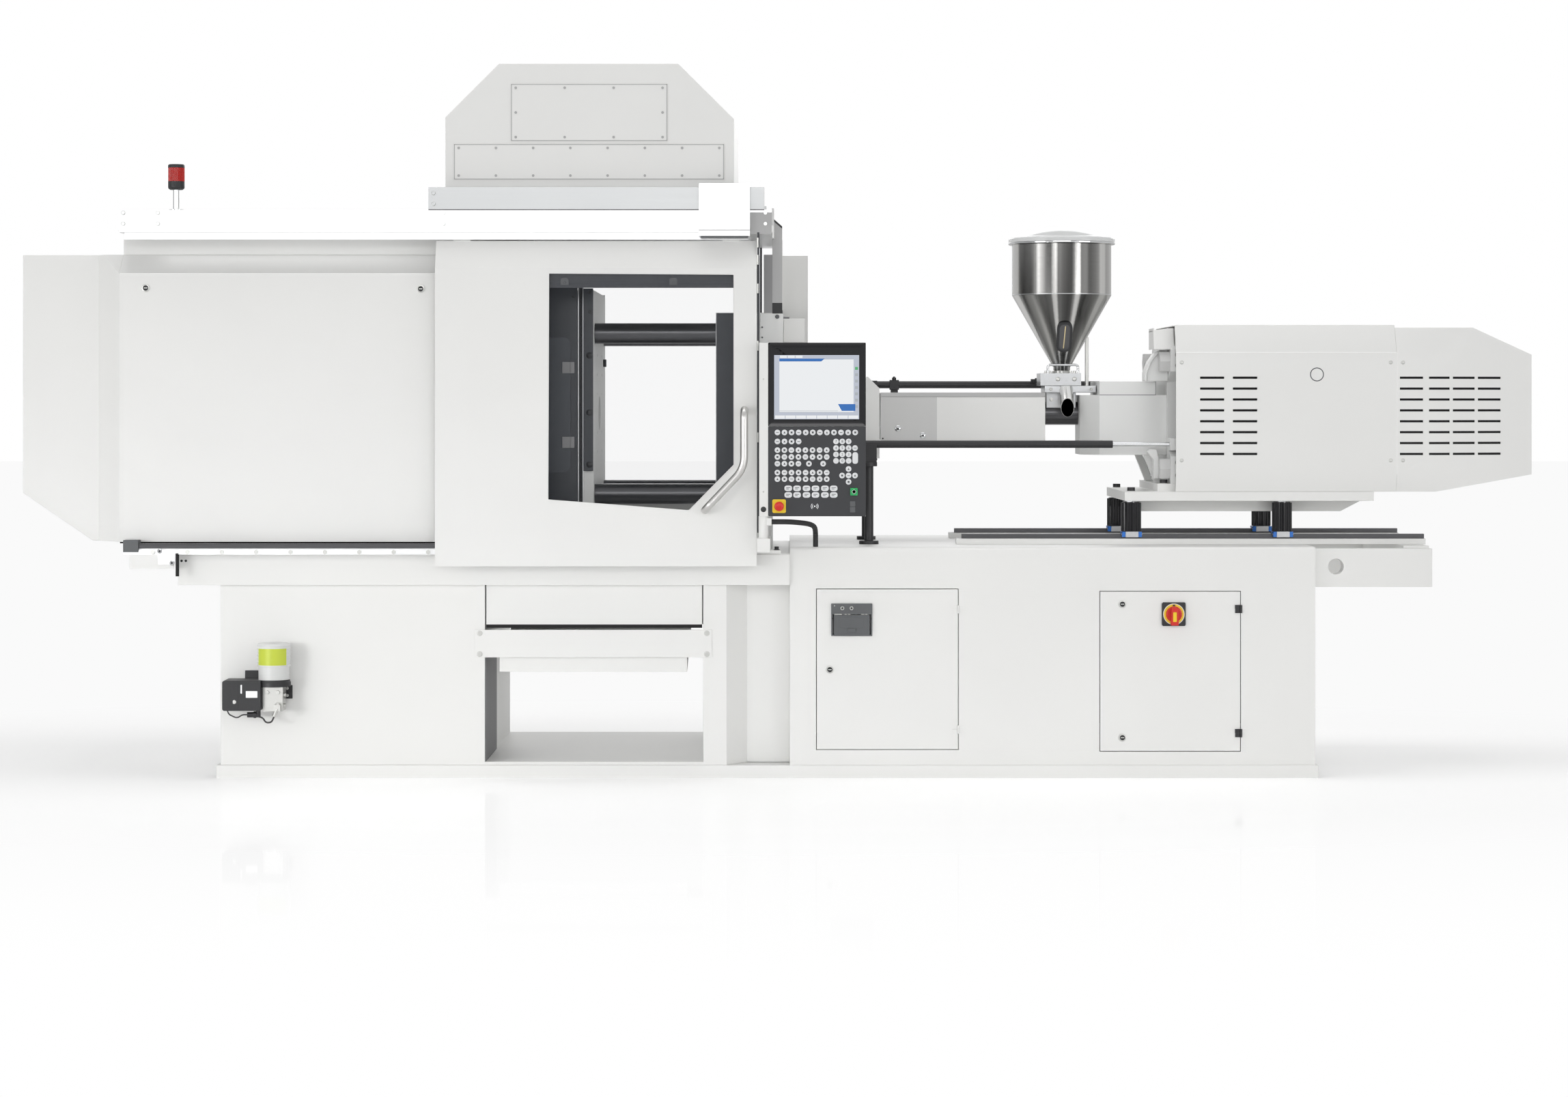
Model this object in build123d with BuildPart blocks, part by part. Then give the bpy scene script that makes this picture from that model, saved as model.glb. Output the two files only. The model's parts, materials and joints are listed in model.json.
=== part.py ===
from build123d import *
import os
from math import radians, tan

# Frame: X = 0 is the mould face of the fixed platen, the injection end is +X, the operator is at -Y,
# the machine centre plane is Y = 0 and the floor is Z = 0. All lengths are millimetres.

# Clearances shared by many pieces
slide_gap = 0.3
running_fit = 0.05
sheet = 4

# Machine axis, bed and base
axis_z = 1279
plinth_height = 44
plinth_half_width = 530
plinth_left = -1751
plinth_right = 2120
plinth_tube = 90
plinth_wall = 5
base_half_width = 520
base_wall = 6
clamp_base_left = -1737
chute_left = -808
chute_right = -41
pillar_right = 263
bed_bottom = 678
bed_top = 788
bed_left = -1884
drop_half_width = 330
recess_bottom = 534
recess_half_width = 440
injection_base_right = 2110
injection_bed_top = 811

# Cabinet doors
door_gap = 2.5
cabinet_door_thickness = 18
left_door_left = 358
left_door_right = 854
left_door_bottom = 100
left_door_top = 662
right_door_left = 1354
right_door_right = 1846
right_door_bottom = 94
right_door_top = 654
cabinet_hinge_out = 6
hinge_half = 14
left_hinge_heights = (170, 592)
right_hinge_heights = (157, 593)
lock_radius = 14
lock_proud = 3

# Extension beams
extension_right = 2529
extension_outer = 480
extension_thickness = 60
extension_bottom = 668
extension_top = 803
lifting_hole_x = 2189
lifting_hole_z = 740
lifting_hole_radius = 28

# Clamp unit
tie_bar_diameter = 73
tie_bar_y = 290
tie_bar_z = 287.5
platen_half_width = 370
platen_half_height = 440
fixed_platen_thickness = 200
moving_platen_face = -435
moving_platen_thickness = 200
tail_platen_front = -1275
tail_platen_thickness = 200
locating_bore = 125
fixed_platen_rise = 360
guard_sheet = 6
tie_nut_diameter = 122
tie_nut_length = 62
tie_bar_left = -1700
mould_hole_pitch = 70
mould_hole_diameter = 14
mould_hole_depth = 35

# Toggle
front_pivot_x = -720
rear_pivot_x = -1190
pivot_height = 50
link_length = 400
lug_radius = 44
eye_radius = 42
toggle_pin = 50
knee_clearance = 22
inner_plate_low = 130
plate_thickness = 38
plate_gap = 2
crosshead_x = -930
crosshead_half = 60
crosshead_pin_height = 50
crosshead_pin = 30
drive_share = 0.575
drive_bar = 40
drive_clearance = 14
drive_plate_near = 80
drive_plate_far = 110
ball_screw = 50

# Clamp guards
cover_left = -2085
cover_right = -640
cover_half_width = 560
bed_half_width = cover_half_width - 20
cover_bottom = 831
cover_fold = 1771
cover_shoulder_half = 480
cover_shoulder = 1840
cover_roof = 1895
end_left = -2448
end_flat_right = -2179
end_half_width = 450
end_chamfer_x = -2202
end_chamfer_z = 999
door_left = -973
door_right = 148
door_bottom = 748
door_fold = 1787
door_face = cover_half_width + 60
door_skin = 5
door_lean = 42
roof_beam_left = -2079
roof_beam_right = 202
roof_beam_bottom = 1913
beam_height = 79
beam_outer = 600
beam_width = 80
beam_wall = 5
post_foot = 1632
post_inner = 430
post_outer = 500
post_inside = 172
post_right = 236
post_box_left = 240
hood_beam_left = -998
hood_beam_right = 174
hood_left = -945
hood_right = 67
hood_half_width = 540
hood_top = 2508
hood_left_shoulder = 2320
hood_right_shoulder = 2314
hood_top_left = -757
hood_top_right = -128
bolt_head = 13
bolt_height = 5

# Door rails
rail_rod_diameter = 20
rail_rod_z = 817
rail_y = 595
rail_left = -2009
rail_right = 118
flange_top = 805
rail_foot = 6
track_y = 576
track_height = 25
track_bottom = roof_beam_bottom - track_height
track_left = rail_left - 51
hanger_rise = 16
door_top = track_bottom - 4

# Injection unit
barrel_diameter = 85
heater_band = 100
screw_diameter = 36
barrel_left = 300
nozzle_tip = 90
feed_left = 1202
feed_right = 1320
feed_plate_left = 1193
feed_plate_right = 1380
feed_plate_bottom = 1355
feed_bore = 34
hopper_x = 1262
body_left = 1384
body_right = 1627
barrel_right = body_left
neck_half_width = 95
screw_way = 60
body_half_width = 180
body_bottom = 1129
body_top = 1346
tray_top = 1395
tray_end = 1587
drain_x = 1271
drain_diameter = 49
drain_wall = 2.5
carriage_left = 1460
foot_left = 1580
foot_top = 1028
carriage_bolt = 28
carriage_right = 2350
carriage_bottom = 967
carriage_top = 1000
carriage_half_width = 330
beam_bottom = 926
rail_half_spacing = 258
rail_width = 24
rail_bottom = 831
rail_top = 847
block_top = 856
spacer_diameter = 73
front_block_x = 1490
rear_block_x = 2032
front_plate_right = 1670
guide_nut_length = 37
guide_bar_diameter = 50
guide_y = 260
guide_z = 192.5
main_cover_left = 1642
main_cover_right = 2430
rear_plate_left = main_cover_right - 100
main_cover_half = 340
main_cover_low_fold = 1062
main_cover_high_fold = 1497
main_cover_top = 1597
rear_bend_x = main_cover_right + 138
rear_cover_right = rear_bend_x + 367
rear_end_half = 235
barrel_guard_left = 592
barrel_guard_right = 1190
barrel_guard_half = 150
barrel_guard_bottom = 1180
barrel_guard_top = 1354
purge_left = 278
purge_right = 589
purge_bottom = 1116
purge_top = 1412
purge_half = 150
drive_tube_diameter = 27
drive_rod_diameter = 14
drive_tube_right = 1422
front_drive_y = -275
front_drive_z = 1169
rear_drive_y = 225
rear_drive_z = 1385

# Hopper
hopper_outer = 363
hopper_rim = 390
hopper_neck = 62
hopper_wall = 3
hopper_block_bottom = 1380.3
hopper_block_top = 1426
hopper_neck_top = 1448
hopper_cone_top = 1711
hopper_top = 1905
hopper_dome = 1964
hopper_block_left = 1177
hopper_block_right = 1326
hopper_block_half = 90
lid_hinge_y = hopper_rim / 2 + 5
lid_knuckle = 8

# Control panel
panel_left = 188
panel_right = 526
panel_bottom = 925
panel_top = 1526
panel_face_y = -700
panel_back_y = -640
panel_post_left = 157
panel_pivot_x = 172
panel_pivot_y = -670
arm_top = bed_top + 60
screen_left = 209
screen_right = 505
screen_bottom = 1259
screen_top = 1485


def block(x0, x1, y0, y1, z0, z1, mode=Mode.ADD):
    """A plain block between two opposite corners."""
    with Locations(((x0 + x1) / 2, (y0 + y1) / 2, (z0 + z1) / 2)):
        Box(x1 - x0, y1 - y0, z1 - z0, mode=mode)


def bar_x(x0, x1, y, z, diameter, mode=Mode.ADD):
    """A round bar or bore along X."""
    with BuildSketch(Plane.YZ.offset(x0)) as section:
        with Locations((y, z)):
            Circle(diameter / 2)
    extrude(section.sketch, amount=x1 - x0, mode=mode)


def bar_y(y0, y1, x, z, diameter, mode=Mode.ADD):
    """A round bar or bore along Y."""
    with BuildSketch(Plane.XZ.offset(-y1)) as section:
        with Locations((x, z)):
            Circle(diameter / 2)
    extrude(section.sketch, amount=y1 - y0, mode=mode)


def bar_z(z0, z1, x, y, diameter, mode=Mode.ADD):
    """A round bar or bore along Z."""
    with BuildSketch(Plane.XY.offset(z0)) as section:
        with Locations((x, y)):
            Circle(diameter / 2)
    extrude(section.sketch, amount=z1 - z0, mode=mode)


def bar_between(start, end, diameter, mode=Mode.ADD):
    """A round bar or bore from one point to another."""
    run = Vector(*end) - Vector(*start)
    with BuildSketch(Plane(origin=start, z_dir=run)) as section:
        Circle(diameter / 2)
    extrude(section.sketch, amount=run.length, mode=mode)


def side_outline(points, y0, y1, mode=Mode.ADD):
    """An outline drawn in X and Z, carried from y0 to y1."""
    with BuildSketch(Plane.XZ.offset(-y1)) as section:
        with BuildLine():
            Polyline(*points, close=True)
        make_face()
    extrude(section.sketch, amount=y1 - y0, mode=mode)


def end_outline(points, x0, x1, mode=Mode.ADD):
    """An outline drawn in Y and Z, carried from x0 to x1."""
    with BuildSketch(Plane.YZ.offset(x0)) as section:
        with BuildLine():
            Polyline(*points, close=True)
        make_face()
    extrude(section.sketch, amount=x1 - x0, mode=mode)


def plan_outline(points, z0, z1, mode=Mode.ADD):
    """An outline drawn in X and Y, carried from z0 to z1."""
    with BuildSketch(Plane.XY.offset(z0)) as section:
        with BuildLine():
            Polyline(*points, close=True)
        make_face()
    extrude(section.sketch, amount=z1 - z0, mode=mode)


def mirrored(points):
    """A half outline, listed from the bottom up on the operator side, closed over to the far side."""
    return points + [(-y, z) for y, z in reversed(points)]


# Plinth: three hollow long tubes joined by flat cross bars
with BuildPart() as base_plinth:
    rail_middles = (plinth_tube / 2 - plinth_half_width, 0, plinth_half_width - plinth_tube / 2)
    for middle in rail_middles:
        block(plinth_left, plinth_right, middle - plinth_tube / 2, middle + plinth_tube / 2, 0, plinth_height)
        block(plinth_left, plinth_right, middle - plinth_tube / 2 + plinth_wall,
              middle + plinth_tube / 2 - plinth_wall, plinth_wall, plinth_height - plinth_wall, Mode.SUBTRACT)
    cross_bars = 8
    cross_bar = 60
    pitch = (plinth_right - plinth_left - cross_bar - 200) / (cross_bars - 1)
    for k in range(cross_bars):
        left = plinth_left + 100 + k * pitch
        for side in (-1, 1):
            inner = plinth_tube / 2
            outer = plinth_half_width - plinth_tube
            near, far = sorted((side * inner, side * outer))
            block(left, left + cross_bar, near, far, plinth_wall, plinth_height - plinth_wall)

# Clamp base: a welded cabinet, the chute floor, recessed bridge panels and a waisted pillar
with BuildPart() as clamp_base:
    block(clamp_base_left, chute_left, -base_half_width, base_half_width, plinth_height, bed_bottom)
    pillar_waist = 430
    pillar = [(chute_right, -base_half_width), (41, -base_half_width), (112, -pillar_waist),
              (pillar_right, -pillar_waist), (pillar_right, pillar_waist), (112, pillar_waist),
              (41, base_half_width), (chute_right, base_half_width)]
    plan_outline(pillar, plinth_height, bed_bottom)
    floor_plate = 12
    block(chute_left, chute_right, -base_half_width, base_half_width, plinth_height,
          plinth_height + floor_plate)
    for near in (-recess_half_width, recess_half_width - floor_plate):
        block(chute_left, chute_right, near, near + floor_plate, recess_bottom, bed_bottom)
    block(clamp_base_left + base_wall, chute_left - base_wall, -base_half_width + base_wall,
          base_half_width - base_wall, plinth_height + base_wall, bed_bottom - base_wall, Mode.SUBTRACT)
    block(chute_right + base_wall, pillar_right - base_wall, -pillar_waist + base_wall,
          pillar_waist - base_wall, plinth_height + base_wall, bed_bottom - base_wall, Mode.SUBTRACT)

# Chute plates: the sloping tray under the mould space and the bolted cross plate in front of it
with BuildPart() as chute_plates:
    tray_left = -758
    tray_right = -98
    tray = [(-505, 371), (-505, 423), (-501, 423), (-501, 376), (400, 600), (400, 596)]
    end_outline(tray, tray_left, tray_right)
    cross_left = -844
    cross_right = -10
    cross_bottom = 423
    cross_top = 520
    cross_thickness = 6
    block(cross_left, cross_right, -base_half_width - cross_thickness, -base_half_width, cross_bottom, cross_top)
    block(tray_left, tray_right, -base_half_width, -501, cross_bottom, cross_bottom + 4)
    for x in (cross_left + 18, cross_right - 18):
        for z in (cross_bottom + 12, cross_top - 12):
            bar_y(-base_half_width - cross_thickness - bolt_height, -base_half_width - cross_thickness, x, z, 16)

# Clamp bed: two machined beams joined at their ends, open between them where the parts drop
with BuildPart() as clamp_bed:
    block(bed_left, pillar_right, -bed_half_width, bed_half_width, bed_bottom, bed_top)
    block(chute_left, chute_right, -drop_half_width, drop_half_width, bed_bottom, bed_top, Mode.SUBTRACT)
    chamfer(clamp_bed.edges().filter_by(Axis.X).group_by(Axis.Z)[-1], 4)

# Injection base: a hollow cabinet with two door openings, its bed on top and the beams at its end
with BuildPart() as injection_base:
    block(pillar_right, injection_base_right, -base_half_width, base_half_width, plinth_height, injection_bed_top)
    front_top_edges = injection_base.edges().filter_by(Axis.X).group_by(Axis.Z)[-1]
    fillet(front_top_edges, 12)
    divider_one = left_door_right + 1.5
    divider_two = right_door_left - 2.5
    rooms = ((pillar_right + base_wall, divider_one - 3), (divider_one + 3, divider_two - 3),
             (divider_two + 3, injection_base_right - base_wall))
    for room_left, room_right in rooms:
        block(room_left, room_right, -base_half_width + base_wall, base_half_width - base_wall,
              plinth_height + base_wall, injection_bed_top - 20, Mode.SUBTRACT)
    door_holes = ((left_door_left, left_door_right, left_door_bottom, left_door_top),
                  (right_door_left, right_door_right, right_door_bottom, right_door_top))
    for x0, x1, z0, z1 in door_holes:
        block(x0 - door_gap, x1 + door_gap, -base_half_width, -base_half_width + 30,
              z0 - door_gap, z1 + door_gap, Mode.SUBTRACT)
    extension_inner = extension_outer - extension_thickness
    for side in (-1, 1):
        near, far = sorted((side * extension_inner, side * extension_outer))
        block(injection_base_right, extension_right, near, far, extension_bottom, extension_top)
        bar_y(near, far, lifting_hole_x, lifting_hole_z, 2 * lifting_hole_radius, Mode.SUBTRACT)
    knuckles = [(left_door_right + 1, z) for z in left_hinge_heights]
    knuckles += [(right_door_right + 2, z) for z in right_hinge_heights]
    for x, z in knuckles:
        bar_z(z, z + hinge_half, x, -base_half_width - cabinet_hinge_out, 8)
        block(x + 2, x + 20, -base_half_width - 5, -base_half_width, z, z + hinge_half)
    end_member = 90
    block(extension_right - end_member, extension_right, -extension_inner, extension_inner, 741, injection_bed_top)

# Cabinet doors: shallow pans hung on surface hinges, with their quarter-turn locks
with BuildPart() as left_cabinet_door:
    front = -base_half_width
    back = -base_half_width + cabinet_door_thickness
    block(left_door_left, left_door_right, front, back, left_door_bottom, left_door_top)
    block(left_door_left + 3, left_door_right - 3, front + 3, back, left_door_bottom + 3, left_door_top - 3,
          Mode.SUBTRACT)
    box_left = 409
    box_right = 553
    box_bottom = 498
    box_top = 612
    block(box_left, box_right, front - 6, back + 34, box_bottom, box_top)
    block(box_left + 5, box_right - 5, front - 6, back + 30, box_bottom + 5, box_top - 5, Mode.SUBTRACT)
    bar_y(front - lock_proud, front, 404, 380, 2 * lock_radius)
    for z in left_hinge_heights:
        bar_z(z - hinge_half, z - slide_gap, left_door_right + 1, front - cabinet_hinge_out, 8)
        block(left_door_right - 20, left_door_right - 1, front - 5, front, z - hinge_half, z - slide_gap)

flap_bottom = box_bottom + 6
flap_top = box_top - 34
with BuildPart() as service_flap:
    block(box_left + 8, box_right - 8, front - 5, front - 1, flap_bottom, flap_top)
    block(box_left + 40, box_right - 40, front - 10, front - 5, flap_bottom, flap_bottom + 14)
    bar_x(box_left + 5 + slide_gap, box_right - 5 - slide_gap, front - 3, flap_top + 2, 5)

with BuildPart() as right_cabinet_door:
    block(right_door_left, right_door_right, front, back, right_door_bottom, right_door_top)
    block(right_door_left + 3, right_door_right - 3, front + 3, back, right_door_bottom + 3, right_door_top - 3,
          Mode.SUBTRACT)
    for z in right_hinge_heights:
        bar_z(z - hinge_half, z - slide_gap, right_door_right + 2, front - cabinet_hinge_out, 8)
        block(right_door_right - 20, right_door_right, front - 5, front, z - hinge_half, z - slide_gap)
    for z in (141, 610):
        bar_y(front - lock_proud, front, 1432, z, 2 * lock_radius)
    switch_x = 1612
    switch_z = 575
    switch_plate = 82
    switch_proud = 8
    block(switch_x - switch_plate / 2, switch_x + switch_plate / 2, front - switch_proud, front,
          switch_z - switch_plate / 2, switch_z + switch_plate / 2)
    bar_y(front - switch_proud - 3, front - switch_proud, switch_x, switch_z, 75)

# Main switch: a round hub with a bar grip
with BuildPart() as main_switch:
    switch_back = front - switch_proud - 3 - slide_gap
    bar_y(switch_back - 9, switch_back, switch_x, switch_z, 46)
    block(switch_x - 9, switch_x + 9, switch_back - 30, switch_back - 9, switch_z - 30, switch_z + 30)

# Control modules: drives and a contactor row on the rear wall of the right compartment
with BuildPart() as control_modules:
    rear = base_half_width - base_wall
    block(1400, 2080, rear - 6, rear, 90, 760)
    for k in range(6):
        left = 1420 + k * 108
        block(left, left + 92, rear - 206, rear - 6, 380, 700)
    for k in range(10):
        left = 1420 + k * 64
        block(left, left + 52, rear - 96, rear - 6, 150, 250)

# Injection rails: a hardened guide rail on a ground strip each side
with BuildPart() as injection_rails:
    for side in (-1, 1):
        middle = side * rail_half_spacing
        block(860, 2541, middle - 40, middle + 40, injection_bed_top, rail_bottom)
        block(880, 2541, middle - rail_width / 2, middle + rail_width / 2, rail_bottom, rail_top)

# Fixed platen: cast block with tie bar bores, nozzle cone, locating bore and the mould screw pattern
with BuildPart() as fixed_platen:
    block(0, fixed_platen_thickness, -platen_half_width, platen_half_width, bed_top,
          axis_z + fixed_platen_rise)
    fillet(fixed_platen.edges().filter_by(Axis.X), 18)
    for y in (-tie_bar_y, tie_bar_y):
        for z in (axis_z - tie_bar_z, axis_z + tie_bar_z):
            bar_x(0, fixed_platen_thickness, y, z, tie_bar_diameter + 2 * running_fit, Mode.SUBTRACT)
    bar_x(0, fixed_platen_thickness, 0, axis_z, locating_bore, Mode.SUBTRACT)
    with BuildSketch(Plane.YZ.offset(60)) as cone_small:
        with Locations((0, axis_z)):
            Circle(locating_bore / 2)
    with BuildSketch(Plane.YZ.offset(fixed_platen_thickness)) as cone_large:
        with Locations((0, axis_z)):
            Circle(130)
    loft([cone_small.sketch, cone_large.sketch], mode=Mode.SUBTRACT)
    for y in (-2 * mould_hole_pitch, 2 * mould_hole_pitch):
        for k in (-3, -2, -1, 1, 2, 3):
            bar_x(0, mould_hole_depth, y, axis_z + k * mould_hole_pitch, mould_hole_diameter, Mode.SUBTRACT)
    for side in (-1, 1):
        near, far = sorted((side * platen_half_width, side * post_outer))
        block(161, post_box_left, near, far, 1530, post_foot)
        near, far = sorted((side * platen_half_width, side * (platen_half_width + guard_sheet)))
        block(2, 118, near, far, bed_top + 7, axis_z + fixed_platen_rise - 2)

# Tie bars: four ground bars with their front nuts
with BuildPart() as tie_bars:
    for y in (-tie_bar_y, tie_bar_y):
        for z in (axis_z - tie_bar_z, axis_z + tie_bar_z):
            bar_x(tie_bar_left, fixed_platen_thickness + tie_nut_length + 8, y, z, tie_bar_diameter)
            bar_x(fixed_platen_thickness, fixed_platen_thickness + tie_nut_length, y, z, tie_nut_diameter)

# Tail platen: bores for the tie bars, lugs for the rear links, a central bore, and the height nuts
outer_plate_low = inner_plate_low + 2 * plate_thickness + 2 * plate_gap
lug_low = inner_plate_low + plate_thickness + plate_gap
tail_back = tail_platen_front - tail_platen_thickness
with BuildPart() as tail_platen:
    block(tail_back, tail_platen_front, -platen_half_width, platen_half_width, bed_top + slide_gap,
          axis_z + 420)
    fillet(tail_platen.edges().filter_by(Axis.X), 18)
    bar_x(tail_back, tail_platen_front, 0, axis_z, ball_screw + 2 * running_fit, Mode.SUBTRACT)
    for y in (-tie_bar_y, tie_bar_y):
        for z in (axis_z - tie_bar_z, axis_z + tie_bar_z):
            bar_x(tail_back - 85, tail_back, y, z, 125)
            bar_x(tail_back - 85, tail_platen_front, y, z, tie_bar_diameter + 2 * running_fit, Mode.SUBTRACT)
    for side in (-1, 1):
        near, far = sorted((side * lug_low, side * (lug_low + plate_thickness)))
        with BuildSketch(Plane.XZ.offset(-far)) as lug:
            with Locations((rear_pivot_x, axis_z - pivot_height), (rear_pivot_x, axis_z + pivot_height)):
                Circle(lug_radius)
            with Locations(((tail_platen_front + rear_pivot_x) / 2, axis_z)):
                Rectangle(rear_pivot_x - tail_platen_front, 2 * (pivot_height + lug_radius))
            with Locations((rear_pivot_x, axis_z)):
                Rectangle(2 * lug_radius - 24, 2 * pivot_height)
        extrude(lug.sketch, amount=plate_thickness)
        near, far = sorted((side * inner_plate_low, side * (outer_plate_low + plate_thickness)))
        for z in (axis_z - pivot_height, axis_z + pivot_height):
            bar_y(near, far, rear_pivot_x, z, toggle_pin)

# Moving platen: the same bores, mould screws, an ejector bore, feet and double lugs at the back
moving_back = moving_platen_face - moving_platen_thickness
with BuildPart() as moving_platen:
    block(moving_back, moving_platen_face, -platen_half_width, platen_half_width, 830,
          axis_z + platen_half_height)
    fillet(moving_platen.edges().filter_by(Axis.X), 18)
    for side in (-1, 1):
        near, far = sorted((side * 338, side * 404))
        block(moving_back, moving_platen_face, near, far, bed_top + slide_gap, 860)
        near, far = sorted((side * platen_half_width, side * (platen_half_width + guard_sheet)))
        block(moving_back, moving_platen_face - 57, near, far, 800, 1727)
        near, far = sorted((side * platen_half_width, side * (platen_half_width + 2 * guard_sheet)))
        block(moving_platen_face - 36, moving_platen_face - 1.5, near, far, 1075, 1725)
    for y in (-tie_bar_y, tie_bar_y):
        for z in (axis_z - tie_bar_z, axis_z + tie_bar_z):
            bar_x(moving_back, moving_platen_face, y, z, tie_bar_diameter + 2 * running_fit, Mode.SUBTRACT)
    ejector_rod = 40
    bar_x(moving_back, moving_platen_face, 0, axis_z, ejector_rod + 2 * running_fit, Mode.SUBTRACT)
    bar_x(moving_platen_face - 30, moving_platen_face, 0, axis_z, locating_bore, Mode.SUBTRACT)
    for y in (-2 * mould_hole_pitch, 2 * mould_hole_pitch):
        for k in (-3, -2, -1, 1, 2, 3):
            bar_x(moving_platen_face - mould_hole_depth, moving_platen_face, y, axis_z + k * mould_hole_pitch,
                  mould_hole_diameter, Mode.SUBTRACT)
    for side in (-1, 1):
        for low in (inner_plate_low, outer_plate_low):
            near, far = sorted((side * low, side * (low + plate_thickness)))
            with BuildSketch(Plane.XZ.offset(-far)) as lug:
                with Locations((front_pivot_x, axis_z - pivot_height), (front_pivot_x, axis_z + pivot_height)):
                    Circle(lug_radius)
                with Locations(((moving_back + front_pivot_x) / 2, axis_z)):
                    Rectangle(moving_back - front_pivot_x, 2 * (pivot_height + lug_radius))
                with Locations((front_pivot_x, axis_z)):
                    Rectangle(2 * lug_radius - 24, 2 * pivot_height)
            extrude(lug.sketch, amount=plate_thickness)
        near, far = sorted((side * inner_plate_low, side * (outer_plate_low + plate_thickness)))
        for z in (axis_z - pivot_height, axis_z + pivot_height):
            bar_y(near, far, front_pivot_x, z, toggle_pin)

# Ejector: a plate behind the moving platen with its central rod
with BuildPart() as ejector:
    block(-745, -725, -100, 100, axis_z - 60, axis_z + 60)
    bar_x(-725, moving_platen_face - 40, 0, axis_z, ejector_rod)

# Toggle: where each knee lies at rest, from the two pivots and the link length
half_span = (front_pivot_x - rear_pivot_x) / 2
knee_x = rear_pivot_x + half_span
knee_rise = (link_length ** 2 - half_span ** 2) ** 0.5


def link_plate(ends, low, side, bores):
    """One link plate with a round eye at each end, and a bore in each eye that has one."""
    near, far = sorted((side * low, side * (low + plate_thickness)))
    (x0, z0), (x1, z1) = ends
    with BuildSketch(Plane.XZ.offset(-far)) as outline:
        with BuildLine():
            Line((x0, z0), (x1, z1))
        trace(line_width=1.5 * eye_radius)
        for (x, z), bore in zip(ends, bores):
            with Locations((x, z)):
                Circle(max(eye_radius, bore / 2 + 14))
        for (x, z), bore in zip(ends, bores):
            if bore:
                with Locations((x, z)):
                    Circle(bore / 2, mode=Mode.SUBTRACT)
    extrude(outline.sketch, amount=plate_thickness)


def drive_point(up):
    """Where the crosshead link drives the rear link."""
    rise = up * (pivot_height + drive_share * knee_rise)
    return rear_pivot_x + drive_share * (knee_x - rear_pivot_x), axis_z + rise


def rear_link(up):
    """Four plates on the tail pivots, the knee pins and the cross bar that the crosshead drives."""
    root = (rear_pivot_x, axis_z + up * pivot_height)
    knee = (knee_x, axis_z + up * (pivot_height + knee_rise))
    with BuildPart() as link:
        for side in (-1, 1):
            for low in (inner_plate_low, outer_plate_low):
                link_plate((root, knee), low, side, (toggle_pin + 2 * running_fit, 0))
            near, far = sorted((side * inner_plate_low, side * (outer_plate_low + plate_thickness)))
            bar_y(near, far, knee[0], knee[1], toggle_pin)
        bar_y(-inner_plate_low, inner_plate_low, *drive_point(up), drive_bar)
    return link


def front_link(up):
    """Two plates on the moving platen's pivots, their knee eyes bored wide."""
    root = (front_pivot_x, axis_z + up * pivot_height)
    knee = (knee_x, axis_z + up * (pivot_height + knee_rise))
    with BuildPart() as link:
        for side in (-1, 1):
            bores = (toggle_pin + 2 * running_fit, toggle_pin + 2 * knee_clearance)
            link_plate((root, knee), lug_low, side, bores)
    return link


upper_rear_link = rear_link(1)
lower_rear_link = rear_link(-1)
upper_front_link = front_link(1)
lower_front_link = front_link(-1)

# Crosshead: a block with link pins, fixed on the ball screw that passes through the tail platen
with BuildPart() as crosshead:
    block(crosshead_x - 35, crosshead_x + 35, -crosshead_half, crosshead_half, axis_z - 75, axis_z + 75)
    bar_x(-1750, crosshead_x - 35, 0, axis_z, ball_screw)
    for z in (axis_z - crosshead_pin_height, axis_z + crosshead_pin_height):
        bar_y(-drive_plate_far - 2, drive_plate_far + 2, crosshead_x, z, crosshead_pin)


def crosshead_link(up):
    """A pair of short links from the crosshead's pins to the rear link's drive bar, bored wide there."""
    ends = ((crosshead_x, axis_z + up * crosshead_pin_height), drive_point(up))
    bores = (crosshead_pin + 2 * running_fit, drive_bar + 2 * drive_clearance)
    with BuildPart() as link:
        for side in (-1, 1):
            near, far = sorted((side * drive_plate_near, side * drive_plate_far))
            with BuildSketch(Plane.XZ.offset(-far)) as outline:
                with BuildLine():
                    Line(*ends)
                trace(line_width=40)
                for (x, z), bore in zip(ends, bores):
                    with Locations((x, z)):
                        Circle(bore / 2 + 12)
                for (x, z), bore in zip(ends, bores):
                    with Locations((x, z)):
                        Circle(bore / 2, mode=Mode.SUBTRACT)
            extrude(outline.sketch, amount=drive_plate_far - drive_plate_near)
    return link


upper_crosshead_link = crosshead_link(1)
lower_crosshead_link = crosshead_link(-1)

# Clamp drive: the nut housing behind the tail platen and the servo motor over it
with BuildPart() as clamp_motor:
    bar_x(tail_back - 90, tail_back, 0, axis_z, 250)
    bar_x(tail_back - 90, tail_back, 0, axis_z, ball_screw + 2 * running_fit, Mode.SUBTRACT)
    block(tail_back - 340, tail_back, -95, 95, axis_z + 170, axis_z + 360)

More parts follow.
